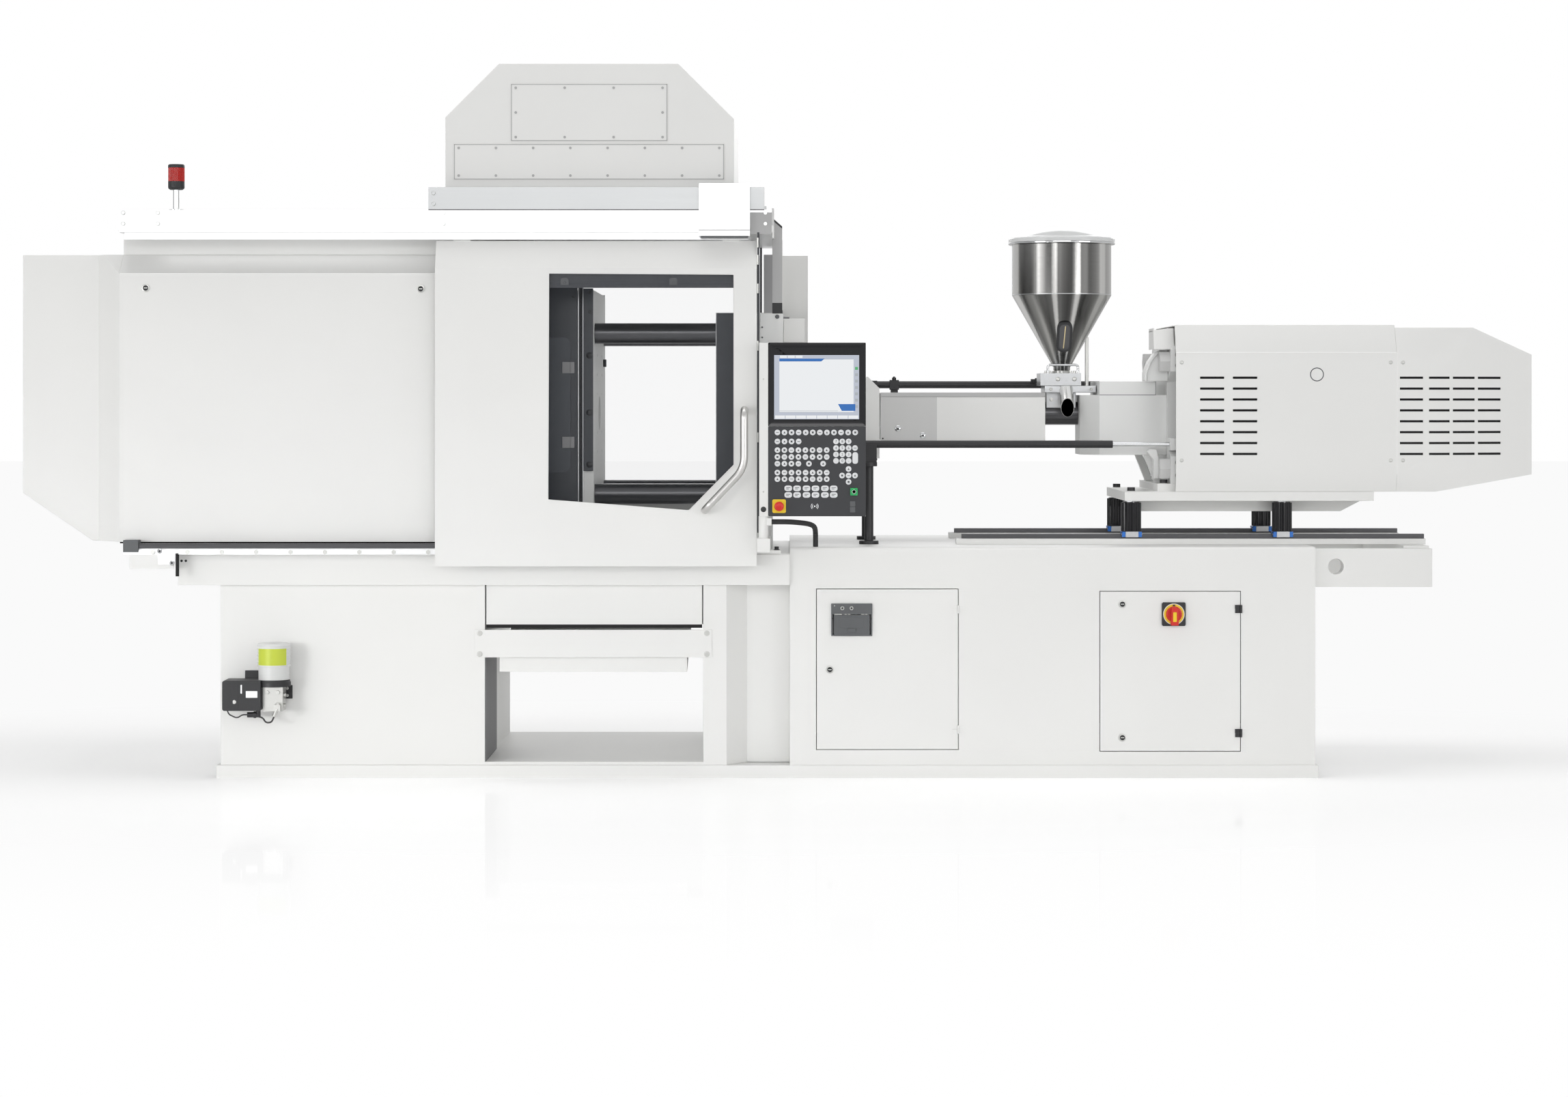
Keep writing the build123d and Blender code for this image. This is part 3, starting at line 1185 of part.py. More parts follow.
# Rear cover: its sides bend inwards and its roof slopes down to the end
rear_plan = [(main_cover_right, -main_cover_half), (rear_bend_x, -main_cover_half),
             (rear_cover_right, -rear_end_half), (rear_cover_right, rear_end_half),
             (rear_bend_x, main_cover_half), (main_cover_right, main_cover_half)]
rear_side = [(main_cover_right, carriage_top), (rear_bend_x, carriage_top), (rear_cover_right, 1060),
             (rear_cover_right, 1491), (rear_bend_x + 142, 1587), (main_cover_right, 1587)]
with BuildPart() as rear_cover:
    plan_outline(rear_plan, carriage_top, main_cover_top)
    side_outline(rear_side, -main_cover_half, main_cover_half, Mode.INTERSECT)
    rear_half = main_half[:-1] + [(-main_cover_half + 45, main_cover_top)]
    end_outline(mirrored(rear_half), main_cover_right, rear_cover_right, Mode.INTERSECT)
    offset(amount=-sheet, openings=rear_cover.faces().sort_by(Axis.X)[0], kind=Kind.INTERSECTION)
    for start, length in ((11, 83), (115, 77), (204, 83), (299, 87)):
        x0 = main_cover_right + start
        x1 = x0 + length
        for row in range(slot_rows):
            z = 1135 + row * slot_pitch
            for side in (-1, 1):
                near, far = sorted((side * 255, side * (main_cover_half + 1)))
                block(x0, x1, near, far, z - slot_height / 2, z + slot_height / 2, Mode.SUBTRACT)

# Hopper: spun shell with a straight wall and a cone, on its slide block with a pull handle
with BuildPart() as hopper_body:
    shell = [(hopper_neck / 2, hopper_block_top), (hopper_neck / 2, hopper_neck_top),
             (hopper_outer / 2, hopper_cone_top), (hopper_outer / 2, hopper_top - 8),
             (hopper_rim / 2, hopper_top - 8), (hopper_rim / 2, hopper_top),
             (hopper_outer / 2 - hopper_wall, hopper_top),
             (hopper_outer / 2 - hopper_wall, hopper_cone_top + 1),
             (hopper_neck / 2 - hopper_wall, hopper_neck_top + 2),
             (hopper_neck / 2 - hopper_wall, hopper_block_top)]
    with BuildSketch(Plane(origin=(hopper_x, 0, 0), x_dir=(1, 0, 0), z_dir=(0, -1, 0))) as half:
        with BuildLine():
            Polyline(*shell, close=True)
        make_face()
    revolve(half.sketch, axis=Axis((hopper_x, 0, 0), (0, 0, 1)))
    block(hopper_block_left, hopper_block_right, -hopper_block_half, hopper_block_half, hopper_block_bottom,
          hopper_block_top)
    bar_z(hopper_block_bottom, hopper_block_top, hopper_x, 0, hopper_neck - 2 * hopper_wall, Mode.SUBTRACT)
    handle_y = -hopper_block_half + 10
    with BuildLine() as pull_path:
        FilletPolyline((1205, handle_y, hopper_block_top), (1205, handle_y, 1456), (1315, handle_y, 1456),
                       (1315, handle_y, hopper_block_top), radius=10)
    with BuildSketch(Plane(origin=pull_path.line @ 0, z_dir=pull_path.line % 0)) as pull_section:
        Circle(4.5)
    sweep(pull_section.sketch, path=pull_path.line)
    glass_z = 1560
    slope = (hopper_outer - hopper_neck) / 2 / (hopper_cone_top - hopper_neck_top)
    cone_radius = hopper_neck / 2 + slope * (glass_z - hopper_neck_top)
    glass_plane = Plane(origin=(hopper_x + 2, -cone_radius, glass_z), x_dir=(1, 0, 0), z_dir=(0, -1, -slope))
    with BuildSketch(glass_plane.offset(-hopper_wall)) as sight_glass:
        RectangleRounded(56, 136, 8)
    extrude(sight_glass.sketch, amount=hopper_wall + 4)
    for side in (-1, 1):
        near, far = sorted((side * (12 + slide_gap), side * 32))
        bar_x(hopper_x + near, hopper_x + far, lid_hinge_y, hopper_top, lid_knuckle)
        block(hopper_x + near, hopper_x + far, hopper_rim / 2 - 8, lid_hinge_y, hopper_top - 8, hopper_top - 3)

# Hopper lid: a flat rim, a shallow dome and its hinge knuckle
with BuildPart() as hopper_lid:
    lid = [(0, hopper_top + slide_gap), (hopper_rim / 2, hopper_top + slide_gap),
           (hopper_rim / 2, hopper_top + 14), (170, hopper_top + 24), (110, hopper_dome - 12), (50, hopper_dome), (0, hopper_dome)]
    with BuildSketch(Plane(origin=(hopper_x, 0, 0), x_dir=(1, 0, 0), z_dir=(0, -1, 0))) as half:
        with BuildLine():
            Polyline(*lid, close=True)
        make_face()
    revolve(half.sketch, axis=Axis((hopper_x, 0, 0), (0, 0, 1)))
    bar_x(hopper_x - 12, hopper_x + 12, lid_hinge_y, hopper_top, lid_knuckle)
    block(hopper_x - 12, hopper_x + 12, hopper_rim / 2 - 8, lid_hinge_y, hopper_top + slide_gap, hopper_top + 6)

pieces = {
    "base_plinth": base_plinth, "clamp_base": clamp_base, "chute_plates": chute_plates, "clamp_bed": clamp_bed,
    "injection_base": injection_base, "left_cabinet_door": left_cabinet_door, "service_flap": service_flap,
    "right_cabinet_door": right_cabinet_door, "main_switch": main_switch, "control_modules": control_modules,
    "injection_rails": injection_rails, "fixed_platen": fixed_platen, "tie_bars": tie_bars,
    "tail_platen": tail_platen, "moving_platen": moving_platen, "ejector": ejector,
    "upper_rear_link": upper_rear_link, "lower_rear_link": lower_rear_link,
    "upper_front_link": upper_front_link, "lower_front_link": lower_front_link, "crosshead": crosshead,
    "clamp_motor": clamp_motor, "clamp_cover": clamp_cover, "clamp_end_cover": clamp_end_cover,
    "roof_beams": roof_beams, "hood_beams": hood_beams, "hood_shell": hood_shell, "hood_panels": hood_panels,
    "guard_posts": guard_posts, "door_rails": door_rails, "front_door_panel": front_door_panel,
    "rear_door_panel": rear_door_panel, "front_door_window": front_door_window,
    "front_door_handle": front_door_handle, "signal_beacon": signal_beacon, "lubricator_pump": lubricator_pump,
    "lubricator_lines": lubricator_lines, "upper_crosshead_link": upper_crosshead_link,
    "lower_crosshead_link": lower_crosshead_link,
    "lubricator_reservoir": lubricator_reservoir, "panel_arm": panel_arm, "panel_hose": panel_hose,
    "panel_housing": panel_housing, "panel_face": panel_face, "emergency_stop": emergency_stop,
    "start_button": start_button, "nozzle_drive_tubes": nozzle_drive_tubes, "purge_guard": purge_guard,
    "barrel": barrel, "barrel_guard": barrel_guard, "injection_housing": injection_housing,
    "carriage": carriage, "carriage_blocks": carriage_blocks, "injection_frame": injection_frame,
    "pressure_plate": pressure_plate, "plasticising_screw": plasticising_screw,
    "injection_cover": injection_cover, "rear_cover": rear_cover, "hopper_body": hopper_body,
    "hopper_lid": hopper_lid,
}
os.makedirs("parts", exist_ok=True)
for label, piece in pieces.items():
    piece.part.label = label
    export_step(piece.part, f"parts/{label}.step")
print(len(pieces), "pieces written")
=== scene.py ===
import json
from math import atan, cos, pi, radians, sin

import bmesh
import bpy
from bpy.props import FloatProperty, FloatVectorProperty, PointerProperty
from bpy.types import Operator, Panel, PropertyGroup
from mathutils import Matrix, Vector


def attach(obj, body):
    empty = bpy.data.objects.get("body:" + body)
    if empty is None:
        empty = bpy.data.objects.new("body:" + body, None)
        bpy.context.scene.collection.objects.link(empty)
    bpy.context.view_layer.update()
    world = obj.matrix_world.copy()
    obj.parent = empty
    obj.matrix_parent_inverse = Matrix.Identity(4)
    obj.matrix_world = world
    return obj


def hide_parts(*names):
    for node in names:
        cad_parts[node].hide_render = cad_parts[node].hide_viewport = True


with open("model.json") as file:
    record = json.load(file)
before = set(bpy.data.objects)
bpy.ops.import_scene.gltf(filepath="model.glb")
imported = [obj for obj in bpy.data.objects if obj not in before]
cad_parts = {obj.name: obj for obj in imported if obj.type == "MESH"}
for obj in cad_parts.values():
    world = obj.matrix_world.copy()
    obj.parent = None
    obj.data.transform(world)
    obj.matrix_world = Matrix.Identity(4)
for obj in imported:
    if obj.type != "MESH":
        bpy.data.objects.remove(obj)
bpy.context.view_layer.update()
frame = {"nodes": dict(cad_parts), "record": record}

bl_info = {
    "name": "Injection moulding machine",
    "version": (1, 0, 0),
    "blender": (4, 5, 0),
    "location": "View3D > Sidebar > Moulding",
    "description": "Dresses the moulding machine's solids and adds its fittings",
    "category": "Object",
}

# Shapes are drawn in millimetres and made metres when they become pieces
MM = 0.001
FRONT = (0, -1, 0)
UP = (0, 0, 1)
# Vertices nearer than this many millimetres are one, and edges sharper than this many degrees stay sharp
MERGE = 0.001
SHARP = 40
body_of = {node: body for body, nodes in frame["record"]["behaviour"]["bodies"].items() for node in nodes}


def length(name, default, description):
    """A length that a user can change, in metres."""
    return FloatProperty(name=name, default=default, description=description, unit="LENGTH", min=0.0)


def colour(name, default, description):
    """A colour that a user can change."""
    return FloatVectorProperty(name=name, default=default, description=description, subtype="COLOR", size=3,
                               min=0.0, max=1.0)


class MOULDING_PG_sizes(PropertyGroup):
    """Sizes of the machine's small features."""

    lock: length("Lock radius", 0.0140, "Radius of a quarter-turn lock")
    key: length("Key diameter", 0.0197, "Diameter of a round key on the panel")
    hex_screw: length("Screw head", 0.0130, "Head diameter of the beam screws")


class MOULDING_PG_colours(PropertyGroup):
    """Colours of the machine's finishes."""

    white: colour("White coat", (0.80, 0.80, 0.785), "Powder coat of the covers and the base")
    casting: colour("Casting paint", (0.78, 0.785, 0.775), "Paint of the cast pieces")
    aluminium: colour("Aluminium", (0.86, 0.865, 0.87), "Anodised beams")
    stainless: colour("Stainless", (0.66, 0.655, 0.64), "Hopper and handle")
    steel: colour("Ground steel", (0.58, 0.59, 0.60), "Tie bars, rods and rails")
    black: colour("Black", (0.018, 0.018, 0.020), "Black posts, tubes and spacers")
    # The dark guard colour is also painted shade on the platens' sides
    dark: colour("Dark guard", (0.035, 0.038, 0.046), "Inner guards and the lubricator's motor")
    red: colour("Red", (0.62, 0.018, 0.012), "Emergency stop and switch")
    yellow: colour("Yellow", (0.86, 0.60, 0.02), "Backing of the stop and the switch")
    green: colour("Green", (0.02, 0.36, 0.10), "Start key")
    blue: colour("Blue", (0.02, 0.17, 0.62), "End caps of the bearings")


def sizes():
    """The size settings."""
    return bpy.context.scene.moulding_sizes


def colours():
    """The colour settings."""
    return bpy.context.scene.moulding_colours


# Shader maths and finishes


class Value:
    """A shader socket that takes part in ordinary arithmetic."""

    def __init__(self, tree, socket):
        self.tree = tree
        self.socket = socket

    def join(self, operation, first, second):
        math = self.tree.nodes.new("ShaderNodeMath")
        math.operation = operation
        for slot, item in zip(math.inputs, (first, second)):
            if isinstance(item, Value):
                self.tree.links.new(item.socket, slot)
            else:
                slot.default_value = item
        return Value(self.tree, math.outputs[0])

    def __add__(self, other):
        return self.join("ADD", self, other)

    def __radd__(self, other):
        return self.join("ADD", other, self)

    def __sub__(self, other):
        return self.join("SUBTRACT", self, other)

    def __rsub__(self, other):
        return self.join("SUBTRACT", other, self)

    def __mul__(self, other):
        return self.join("MULTIPLY", self, other)

    def __rmul__(self, other):
        return self.join("MULTIPLY", other, self)

    def __truediv__(self, other):
        return self.join("DIVIDE", self, other)


class Finish:
    """One material: its node tree, its surface shader and a method that adds any other node."""

    def __init__(self, name, settings):
        self.material = bpy.data.materials.new(name)
        self.material.use_nodes = True
        self.tree = self.material.node_tree
        self.surface = self.tree.nodes["Principled BSDF"]
        for socket, value in settings.items():
            self.surface.inputs[socket].default_value = value

    def node(self, kind, settings=None, inputs=None, output=0):
        made = self.tree.nodes.new(kind)
        for key, value in (settings or {}).items():
            setattr(made, key, value)
        for key, value in (inputs or {}).items():
            if isinstance(value, Value):
                self.tree.links.new(value.socket, made.inputs[key])
            else:
                made.inputs[key].default_value = value
        return Value(self.tree, made.outputs[output])

    def feed(self, socket, value):
        self.tree.links.new(value.socket, self.surface.inputs[socket])

    def place(self, scale=(1, 1, 1)):
        coordinates = self.node("ShaderNodeTexCoord", output=3)
        return self.node("ShaderNodeMapping", inputs={0: coordinates, 3: scale})

    def noise(self, scale, detail=3.0, stretch=(1, 1, 1)):
        return self.node("ShaderNodeTexNoise", inputs={"Vector": self.place(stretch), "Scale": scale,
                                                       "Detail": detail})

    def blend(self, factor, first, second):
        return self.node("ShaderNodeMix", {"data_type": "RGBA"}, {0: factor, 6: first, 7: second}, 2)

    def ramp(self, factor, stops):
        """Grey tones along the factor: pairs of position and brightness."""
        made = self.node("ShaderNodeValToRGB", inputs={0: factor})
        elements = self.tree.nodes[-1].color_ramp.elements
        while len(elements) < len(stops):
            elements.new(1.0)
        for element, (position, share) in zip(elements, stops):
            element.position = position
            element.color = (share, share, share, 1.0)
        return made

    def bump(self, height, strength, distance):
        normal = self.node("ShaderNodeBump", inputs={"Height": height, "Strength": strength,
                                                     "Distance": distance})
        self.feed("Normal", normal)


def tone(rgb, factor=1.0):
    """A colour made lighter or darker, with its alpha."""
    return tuple(min(1.0, part * factor) for part in rgb) + (1.0,)


def chosen(rgb):
    """The colour itself, or the user's colour of that name."""
    return getattr(colours(), rgb) if isinstance(rgb, str) else rgb


made_finishes = {}


def finish(name):
    """The named finish, made when it is first asked for."""
    if name not in made_finishes:
        made_finishes[name] = RECIPES[name](name)
    return made_finishes[name].material


def coat(rgb, roughness, peel, mottle=0.03):
    """Powder coat or paint: an even colour with a fine orange peel and cloudy gloss."""

    def recipe(name):
        base = chosen(rgb)
        made = Finish(name, {"Metallic": 0.0, "IOR": 1.5})
        cloud = made.noise(2.2, 2.0)
        made.feed("Base Color", made.blend(cloud, tone(base, 1 - mottle), tone(base, 1 + mottle)))
        made.feed("Roughness", roughness + (made.noise(35.0) - 0.5) * 0.10)
        made.bump(made.noise(420.0, 2.0), peel, 0.0004)
        return made

    return recipe


def metal(rgb, roughness, stretch, depth=0.10, scale=60.0, spread=0.12):
    """Metal with a grain drawn out across the small directions of the stretch."""

    def recipe(name):
        base = chosen(rgb)
        made = Finish(name, {"Metallic": 1.0})
        grain = made.noise(scale, 5.0, stretch)
        cloud = made.noise(3.0, 2.0)
        made.feed("Base Color", made.blend(grain * 0.6 + cloud * 0.4, tone(base, 0.90), tone(base, 1.08)))
        made.feed("Roughness", roughness + (grain - 0.5) * spread)
        made.bump(grain, depth, 0.0003)
        return made

    return recipe


def plastic(rgb, roughness, grain=0.05, extra=None):
    """Moulded plastic or rubber with a fine texture."""

    def recipe(name):
        base = chosen(rgb)
        made = Finish(name, {"Metallic": 0.0, **(extra or {})})
        speckle = made.noise(900.0, 1.0)
        made.feed("Base Color", made.blend(made.noise(6.0), tone(base, 0.92), tone(base, 1.10)))
        made.feed("Roughness", roughness + (speckle - 0.5) * 0.08)
        made.bump(speckle, grain, 0.0002)
        return made

    return recipe


def painted_reflection_bands(rgb, middle, bands):
    """Spun sheet metal: the grain runs round its upright axis, and upright bands of painted reflection, dark
    and light, are keyed to the angle round that axis.
    """

    def recipe(name):
        base = getattr(colours(), rgb)
        made = Finish(name, {"Metallic": 1.0})
        x, y = (made.node("ShaderNodeSeparateXYZ", inputs={0: made.place()}, output=axis) for axis in (0, 1))
        turn = x.join("ARCTAN2", x - middle, y * -1.0) * (180 / pi)
        grain = made.noise(22.0, 4.0, (0.25, 0.25, 30.0))
        # The ramp turns the angle round the axis into bands of painted reflection in the base colour
        tones = made.ramp((turn + (grain - 0.5) * 2.0) / 360.0 + 0.5,
                          [((angle + 180.0) / 360.0, share) for angle, share in bands])
        made.feed("Base Color", made.blend(tones, tone(base, 0.10), tone(base, 1.15)))
        made.feed("Roughness", 0.20 + (grain - 0.5) * 0.12)
        made.bump(grain, 0.05, 0.0003)
        return made

    return recipe


def lit(rgb, strength):
    """A lit part of the screen with its fine grid of dots."""

    def recipe(name):
        made = Finish(name, {"Roughness": 0.12, "Base Color": (0.02, 0.02, 0.02, 1.0),
                             "Emission Strength": strength})
        rows = made.node("ShaderNodeTexWave", {"bands_direction": "Z"},
                         {"Vector": made.place(), "Scale": 350.0})
        made.feed("Emission Color", made.blend(rows, tone(rgb, 0.98), tone(rgb, 1.02)))
        return made

    return recipe


RECIPES = {
    "white coat": coat("white", 0.40, 0.10),
    "casting paint": coat("casting", 0.45, 0.35, 0.05),
    "black coat": coat("black", 0.42, 0.08, 0.10),
    # Also painted shade: the dark sheets on the platens' sides stand for shade on the light castings
    "dark guard": coat("dark", 0.38, 0.08, 0.06),
    "aluminium": metal("aluminium", 0.34, (0.03, 1.0, 1.0), 0.05),
    "machined steel": metal("steel", 0.30, (1.0, 1.0, 1.0), 0.06, 90.0),
    "ground steel": metal("steel", 0.16, (12.0, 0.4, 0.4), 0.04, 50.0, 0.06),
    # A lighter white for painted highlights along the covers' folds
    "white edge": coat((0.93, 0.93, 0.92), 0.30, 0.02),
    "guard grey": coat((0.60, 0.60, 0.595), 0.42, 0.08),
    "column grey": coat((0.47, 0.47, 0.47), 0.42, 0.08),
    "column dark": coat((0.29, 0.29, 0.295), 0.45, 0.08),
    # Painted shade: the guard flap on the moving platen's side
    "guard light": coat((0.060, 0.066, 0.077), 0.42, 0.2),
    "seam pale": plastic((0.42, 0.42, 0.42), 0.5, 0.02),
    "seam grey": plastic((0.16, 0.16, 0.165), 0.55, 0.05),
    # Near-black for painted shade in gaps and behind slots
    "liner black": plastic((0.006, 0.006, 0.006), 0.80, 0.05),
    "dull aluminium": metal((0.52, 0.53, 0.535), 0.36, (0.03, 1.0, 1.0), 0.05),
    "dark steel": metal((0.11, 0.11, 0.115), 0.30, (0.4, 8.0, 8.0), 0.04, 50.0),
    "stainless": metal("stainless", 0.24, (0.25, 0.25, 14.0), 0.05, 30.0),
    "brushed handle": metal("stainless", 0.30, (1.0, 1.0, 0.08), 0.05, 200.0),
    "zinc": metal((0.62, 0.62, 0.60), 0.32, (1.0, 1.0, 1.0), 0.05, 300.0),
    "chrome": metal((0.72, 0.73, 0.74), 0.10, (1.0, 1.0, 1.0), 0.02, 40.0, 0.04),
    "black plastic": plastic("black", 0.45, 0.12),
    "grey plastic": plastic((0.10, 0.105, 0.11), 0.48, 0.12),
    "gloss black": plastic((0.008, 0.008, 0.010), 0.10, 0.01),
    "keypad": plastic((0.030, 0.031, 0.035), 0.38, 0.05),
    "key white": plastic((0.74, 0.75, 0.76), 0.40, 0.03),
    "key mark": plastic((0.06, 0.065, 0.07), 0.50, 0.03),
    "print white": plastic((0.80, 0.81, 0.82), 0.45, 0.02),
    "rubber": plastic((0.020, 0.020, 0.021), 0.70, 0.20),
    "gasket": plastic((0.030, 0.031, 0.033), 0.60, 0.10),
    "red": plastic("red", 0.28, 0.02),
    "lens red": plastic("red", 0.12, 0.02, {"Transmission Weight": 0.25, "IOR": 1.49}),
    "yellow": plastic("yellow", 0.35, 0.02),
    "green": plastic("green", 0.30, 0.02),
    "blue": plastic("blue", 0.35, 0.02),
    "window": plastic((0.20, 0.22, 0.25), 0.03, 0.0, {"Alpha": 0.022, "IOR": 1.45}),
    # Stops of the painted reflection bands: angle round the hopper and brightness
    "spun steel": painted_reflection_bands("stainless", 1.262, (
        (-180, 0.6), (-120, 0.8), (-90, 0.85), (-66, 0.8), (-62, 0.28), (-52, 0.20), (-44, 0.30), (-38, 0.55),
        (-34, 0.55), (-29, 0.22), (-24, 0.08), (-17, 0.12), (-15, 0.80), (-11, 0.90), (-9, 0.08), (-7, 0.14),
        (-3, 0.05), (3, 0.0), (7, 0.03), (10, 0.30), (12, 0.90),
        (16, 0.85), (18, 0.06), (29, 0.10), (38, 0.28), (43, 0.45), (46, 0.90), (54, 0.85), (58, 0.50),
        (90, 0.75), (130, 0.9), (180, 0.6))),
    "sight glass": plastic((0.085, 0.085, 0.09), 0.10, 0.0),
    "pellets": plastic((0.62, 0.52, 0.30), 0.35, 0.02),
    "lid clear": plastic((0.86, 0.87, 0.87), 0.10, 0.0, {"Alpha": 0.55, "IOR": 1.49}),
    "label green": plastic((0.52, 0.60, 0.05), 0.40, 0.02),
    "clear black": plastic((0.05, 0.05, 0.05), 0.30, 0.02),
    "frosted": plastic((0.80, 0.81, 0.80), 0.30, 0.02, {"Alpha": 0.72, "IOR": 1.49}),
    "screen white": lit((0.93, 0.95, 0.97), 0.85),
    "screen pale": lit((0.58, 0.62, 0.72), 0.80),
    "screen blue": lit((0.02, 0.16, 0.52), 0.85),
    "screen grey": lit((0.50, 0.54, 0.58), 0.75),
    "screen green": lit((0.10, 0.50, 0.18), 0.80),
}


# Shapes: each helper adds to a bmesh drawn in millimetres


def moved(verts, bm, matrix):
    """Moves the vertices by the matrix."""
    bmesh.ops.transform(bm, matrix=matrix, verts=verts)


def slab(bm, low, high):
    """A block between two opposite corners."""
    low, high = Vector(low), Vector(high)
    size = Matrix.Diagonal((*(high - low), 1.0))
    bmesh.ops.create_cube(bm, size=1.0, matrix=Matrix.Translation((low + high) / 2) @ size)


def rod(bm, start, end, radius, segments=32):
    """A round bar from start to end."""
    start, end = Vector(start), Vector(end)
    turn = (end - start).to_track_quat("Z", "Y").to_matrix().to_4x4()
    made = bmesh.ops.create_cone(bm, cap_ends=True, segments=segments, radius1=radius, radius2=radius,
                                 depth=(end - start).length, matrix=Matrix.Translation((start + end) / 2)
                                 @ turn)
    return made["verts"]


def extruded(bm, points, along):
    """A flat outline carried along a vector."""
    face = bm.faces.new([bm.verts.new(point) for point in points])
    carry(bm, [face], along)


def carry(bm, faces, along):
    """Extrudes the faces along a vector."""
    made = bmesh.ops.extrude_face_region(bm, geom=faces)
    verts = [item for item in made["geom"] if isinstance(item, bmesh.types.BMVert)]
    bmesh.ops.translate(bm, vec=Vector(along), verts=verts)


def ring(bm, outline, y, width, depth):
    """A band just inside an outline in X and Z, carried along Y."""
    face = bm.faces.new([bm.verts.new((x, y, z)) for x, z in outline])
    band = bmesh.ops.inset_region(bm, faces=[face], thickness=width, use_boundary=True, use_even_offset=True)
    bmesh.ops.delete(bm, geom=[face], context="FACES")
    carry(bm, band["faces"], (0, depth, 0))


def front_plate(bm, points, y0, y1):
    """An outline in X and Z, carried from y0 to y1."""
    extruded(bm, [(x, y0, z) for x, z in points], (0, y1 - y0, 0))


def turned(bm, profile, origin, axis, segments=48):
    """A profile of (radius, height) pairs turned about an axis through the origin."""
    axis = Vector(axis).normalized()
    side = axis.orthogonal().normalized()
    origin = Vector(origin)
    verts = [bm.verts.new(origin + side * radius + axis * height) for radius, height in profile]
    edges = [bm.edges.new(pair) for pair in zip(verts, verts[1:])]
    bmesh.ops.spin(bm, geom=verts + edges, cent=origin, axis=axis, angle=2 * pi, steps=segments,
                   use_merge=True)


def hexagon(bm, centre, across, depth, axis=FRONT):
    """A hexagon head standing on a face."""
    centre, axis = Vector(centre), Vector(axis)
    rod(bm, centre, centre + axis * depth, across / 3 ** 0.5, 6)


def socket_screw(bm, centre, head, depth):
    """A round screw head on a front face, with a socket let into its top."""
    centre, axis = Vector(centre), Vector(FRONT)
    made = rod(bm, centre, centre + axis * depth, head / 2, 24)
    top = max((face for vert in made for face in vert.link_faces),
              key=lambda face: (face.calc_center_median() - centre).dot(axis))
    bmesh.ops.inset_region(bm, faces=[top], thickness=head * 0.22)
    bmesh.ops.translate(bm, vec=-axis * depth * 0.6, verts=top.verts)


def rounded(points, radius):
    """The same closed outline with an arc at every corner; the points are pairs."""
    made = []
    count, steps = len(points), 6
    for index in range(count):
        before, here, after = (Vector(points[(index + shift) % count]) for shift in (-1, 0, 1))
        reach = radius[index] if isinstance(radius, (list, tuple)) else radius
        if not reach:
            made.append(tuple(here))
            continue
        start = here + (before - here).normalized() * reach
        end = here + (after - here).normalized() * reach
        for step in range(steps + 1):
            t = step / steps
            made.append(tuple(start * (1 - t) ** 2 + here * 2 * t * (1 - t) + end * t ** 2))
    return made


def oblong(x, z, width, height, radius=None):
    """The outline of a rounded rectangle round a centre."""
    radius = min(width, height) / 2 if radius is None else radius
    box = [(x - width / 2, z - height / 2), (x + width / 2, z - height / 2), (x + width / 2, z + height / 2),
           (x - width / 2, z + height / 2)]
    return rounded(box, radius)


def piece(name, bm, finish_name, body, replaces=(), edge=0.8, angle=35, segments=2, scale=MM):
    """The bmesh as a finished piece: merged, its sharp edges bevelled, riding on its body."""
    bmesh.ops.remove_doubles(bm, verts=bm.verts, dist=MERGE * MM / scale)
    bmesh.ops.recalc_face_normals(bm, faces=bm.faces)
    if edge:
        limit = radians(angle)
        sharp = [e for e in bm.edges if len(e.link_faces) == 2 and e.calc_face_angle(0.0) > limit]
        bmesh.ops.bevel(bm, geom=sharp, offset=edge * MM / scale, offset_type="OFFSET", segments=segments,
                        profile=0.5, affect="EDGES", clamp_overlap=True, material=-1)
    mesh = bpy.data.meshes.new(name)
    bm.to_mesh(mesh)
    bm.free()
    mesh.transform(Matrix.Scale(scale, 4))
    return placed(name, mesh, finish_name, body, replaces)


def single(name, finish_name, body, edge, shape, *measures):
    """A piece made of one shape, drawn with its measures."""
    bm = bmesh.new()
    shape(bm, *measures)
    piece(name, bm, finish_name, body, edge=edge)


def slabs(name, finish_name, body, edge, *boxes):
    """A piece made of blocks, each given by two opposite corners."""
    bm = bmesh.new()
    for low, high in boxes:
        slab(bm, low, high)
    piece(name, bm, finish_name, body, edge=edge)


def placed(name, mesh, finish_name, body, replaces=()):
    """A mesh as an object with its finish, smooth normals and body."""
    name = name.replace(" ", "_")
    mesh.shade_smooth()
    mesh.set_sharp_from_angle(angle=radians(SHARP))
    made = bpy.data.objects.new(name, mesh)
    bpy.context.scene.collection.objects.link(made)
    made.data.materials.append(finish(finish_name))
    even = made.modifiers.new("Even normals", "WEIGHTED_NORMAL")
    even.keep_sharp = True
    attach(made, body)
    if replaces:
        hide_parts(*replaces)
    return made


def cad_shape(node):
    """A merged copy of a CAD node's mesh with its flat faces joined."""
    bm = bmesh.new()
    bm.from_mesh(frame["nodes"][node].data)
    bmesh.ops.remove_doubles(bm, verts=bm.verts, dist=1e-5)
    bmesh.ops.dissolve_limit(bm, angle_limit=radians(0.5), verts=bm.verts, edges=bm.edges)
    return bm


def dress(node, finish_name, edge):
    """The CAD node's own form with softened edges and its finish."""
    return piece(node + "_dressed", cad_shape(node), finish_name, body_of[node], (node,), edge, scale=1.0)


def both(low, high):
    """The box and its mirror image across the machine's centre plane."""
    return (low, high), ((low[0], -high[1], low[2]), (high[0], -low[1], high[2]))


def recolour(made, finish_name, *boxes):
    """Gives the finish to the faces whose centres lie in one of the boxes, in millimetres."""
    mesh = made.data
    mesh.materials.append(finish(finish_name))
    for polygon in mesh.polygons:
        centre = polygon.center / MM
        if any(all(a <= c <= b for a, c, b in zip(low, centre, high)) for low, high in boxes):
            polygon.material_index = len(mesh.materials) - 1


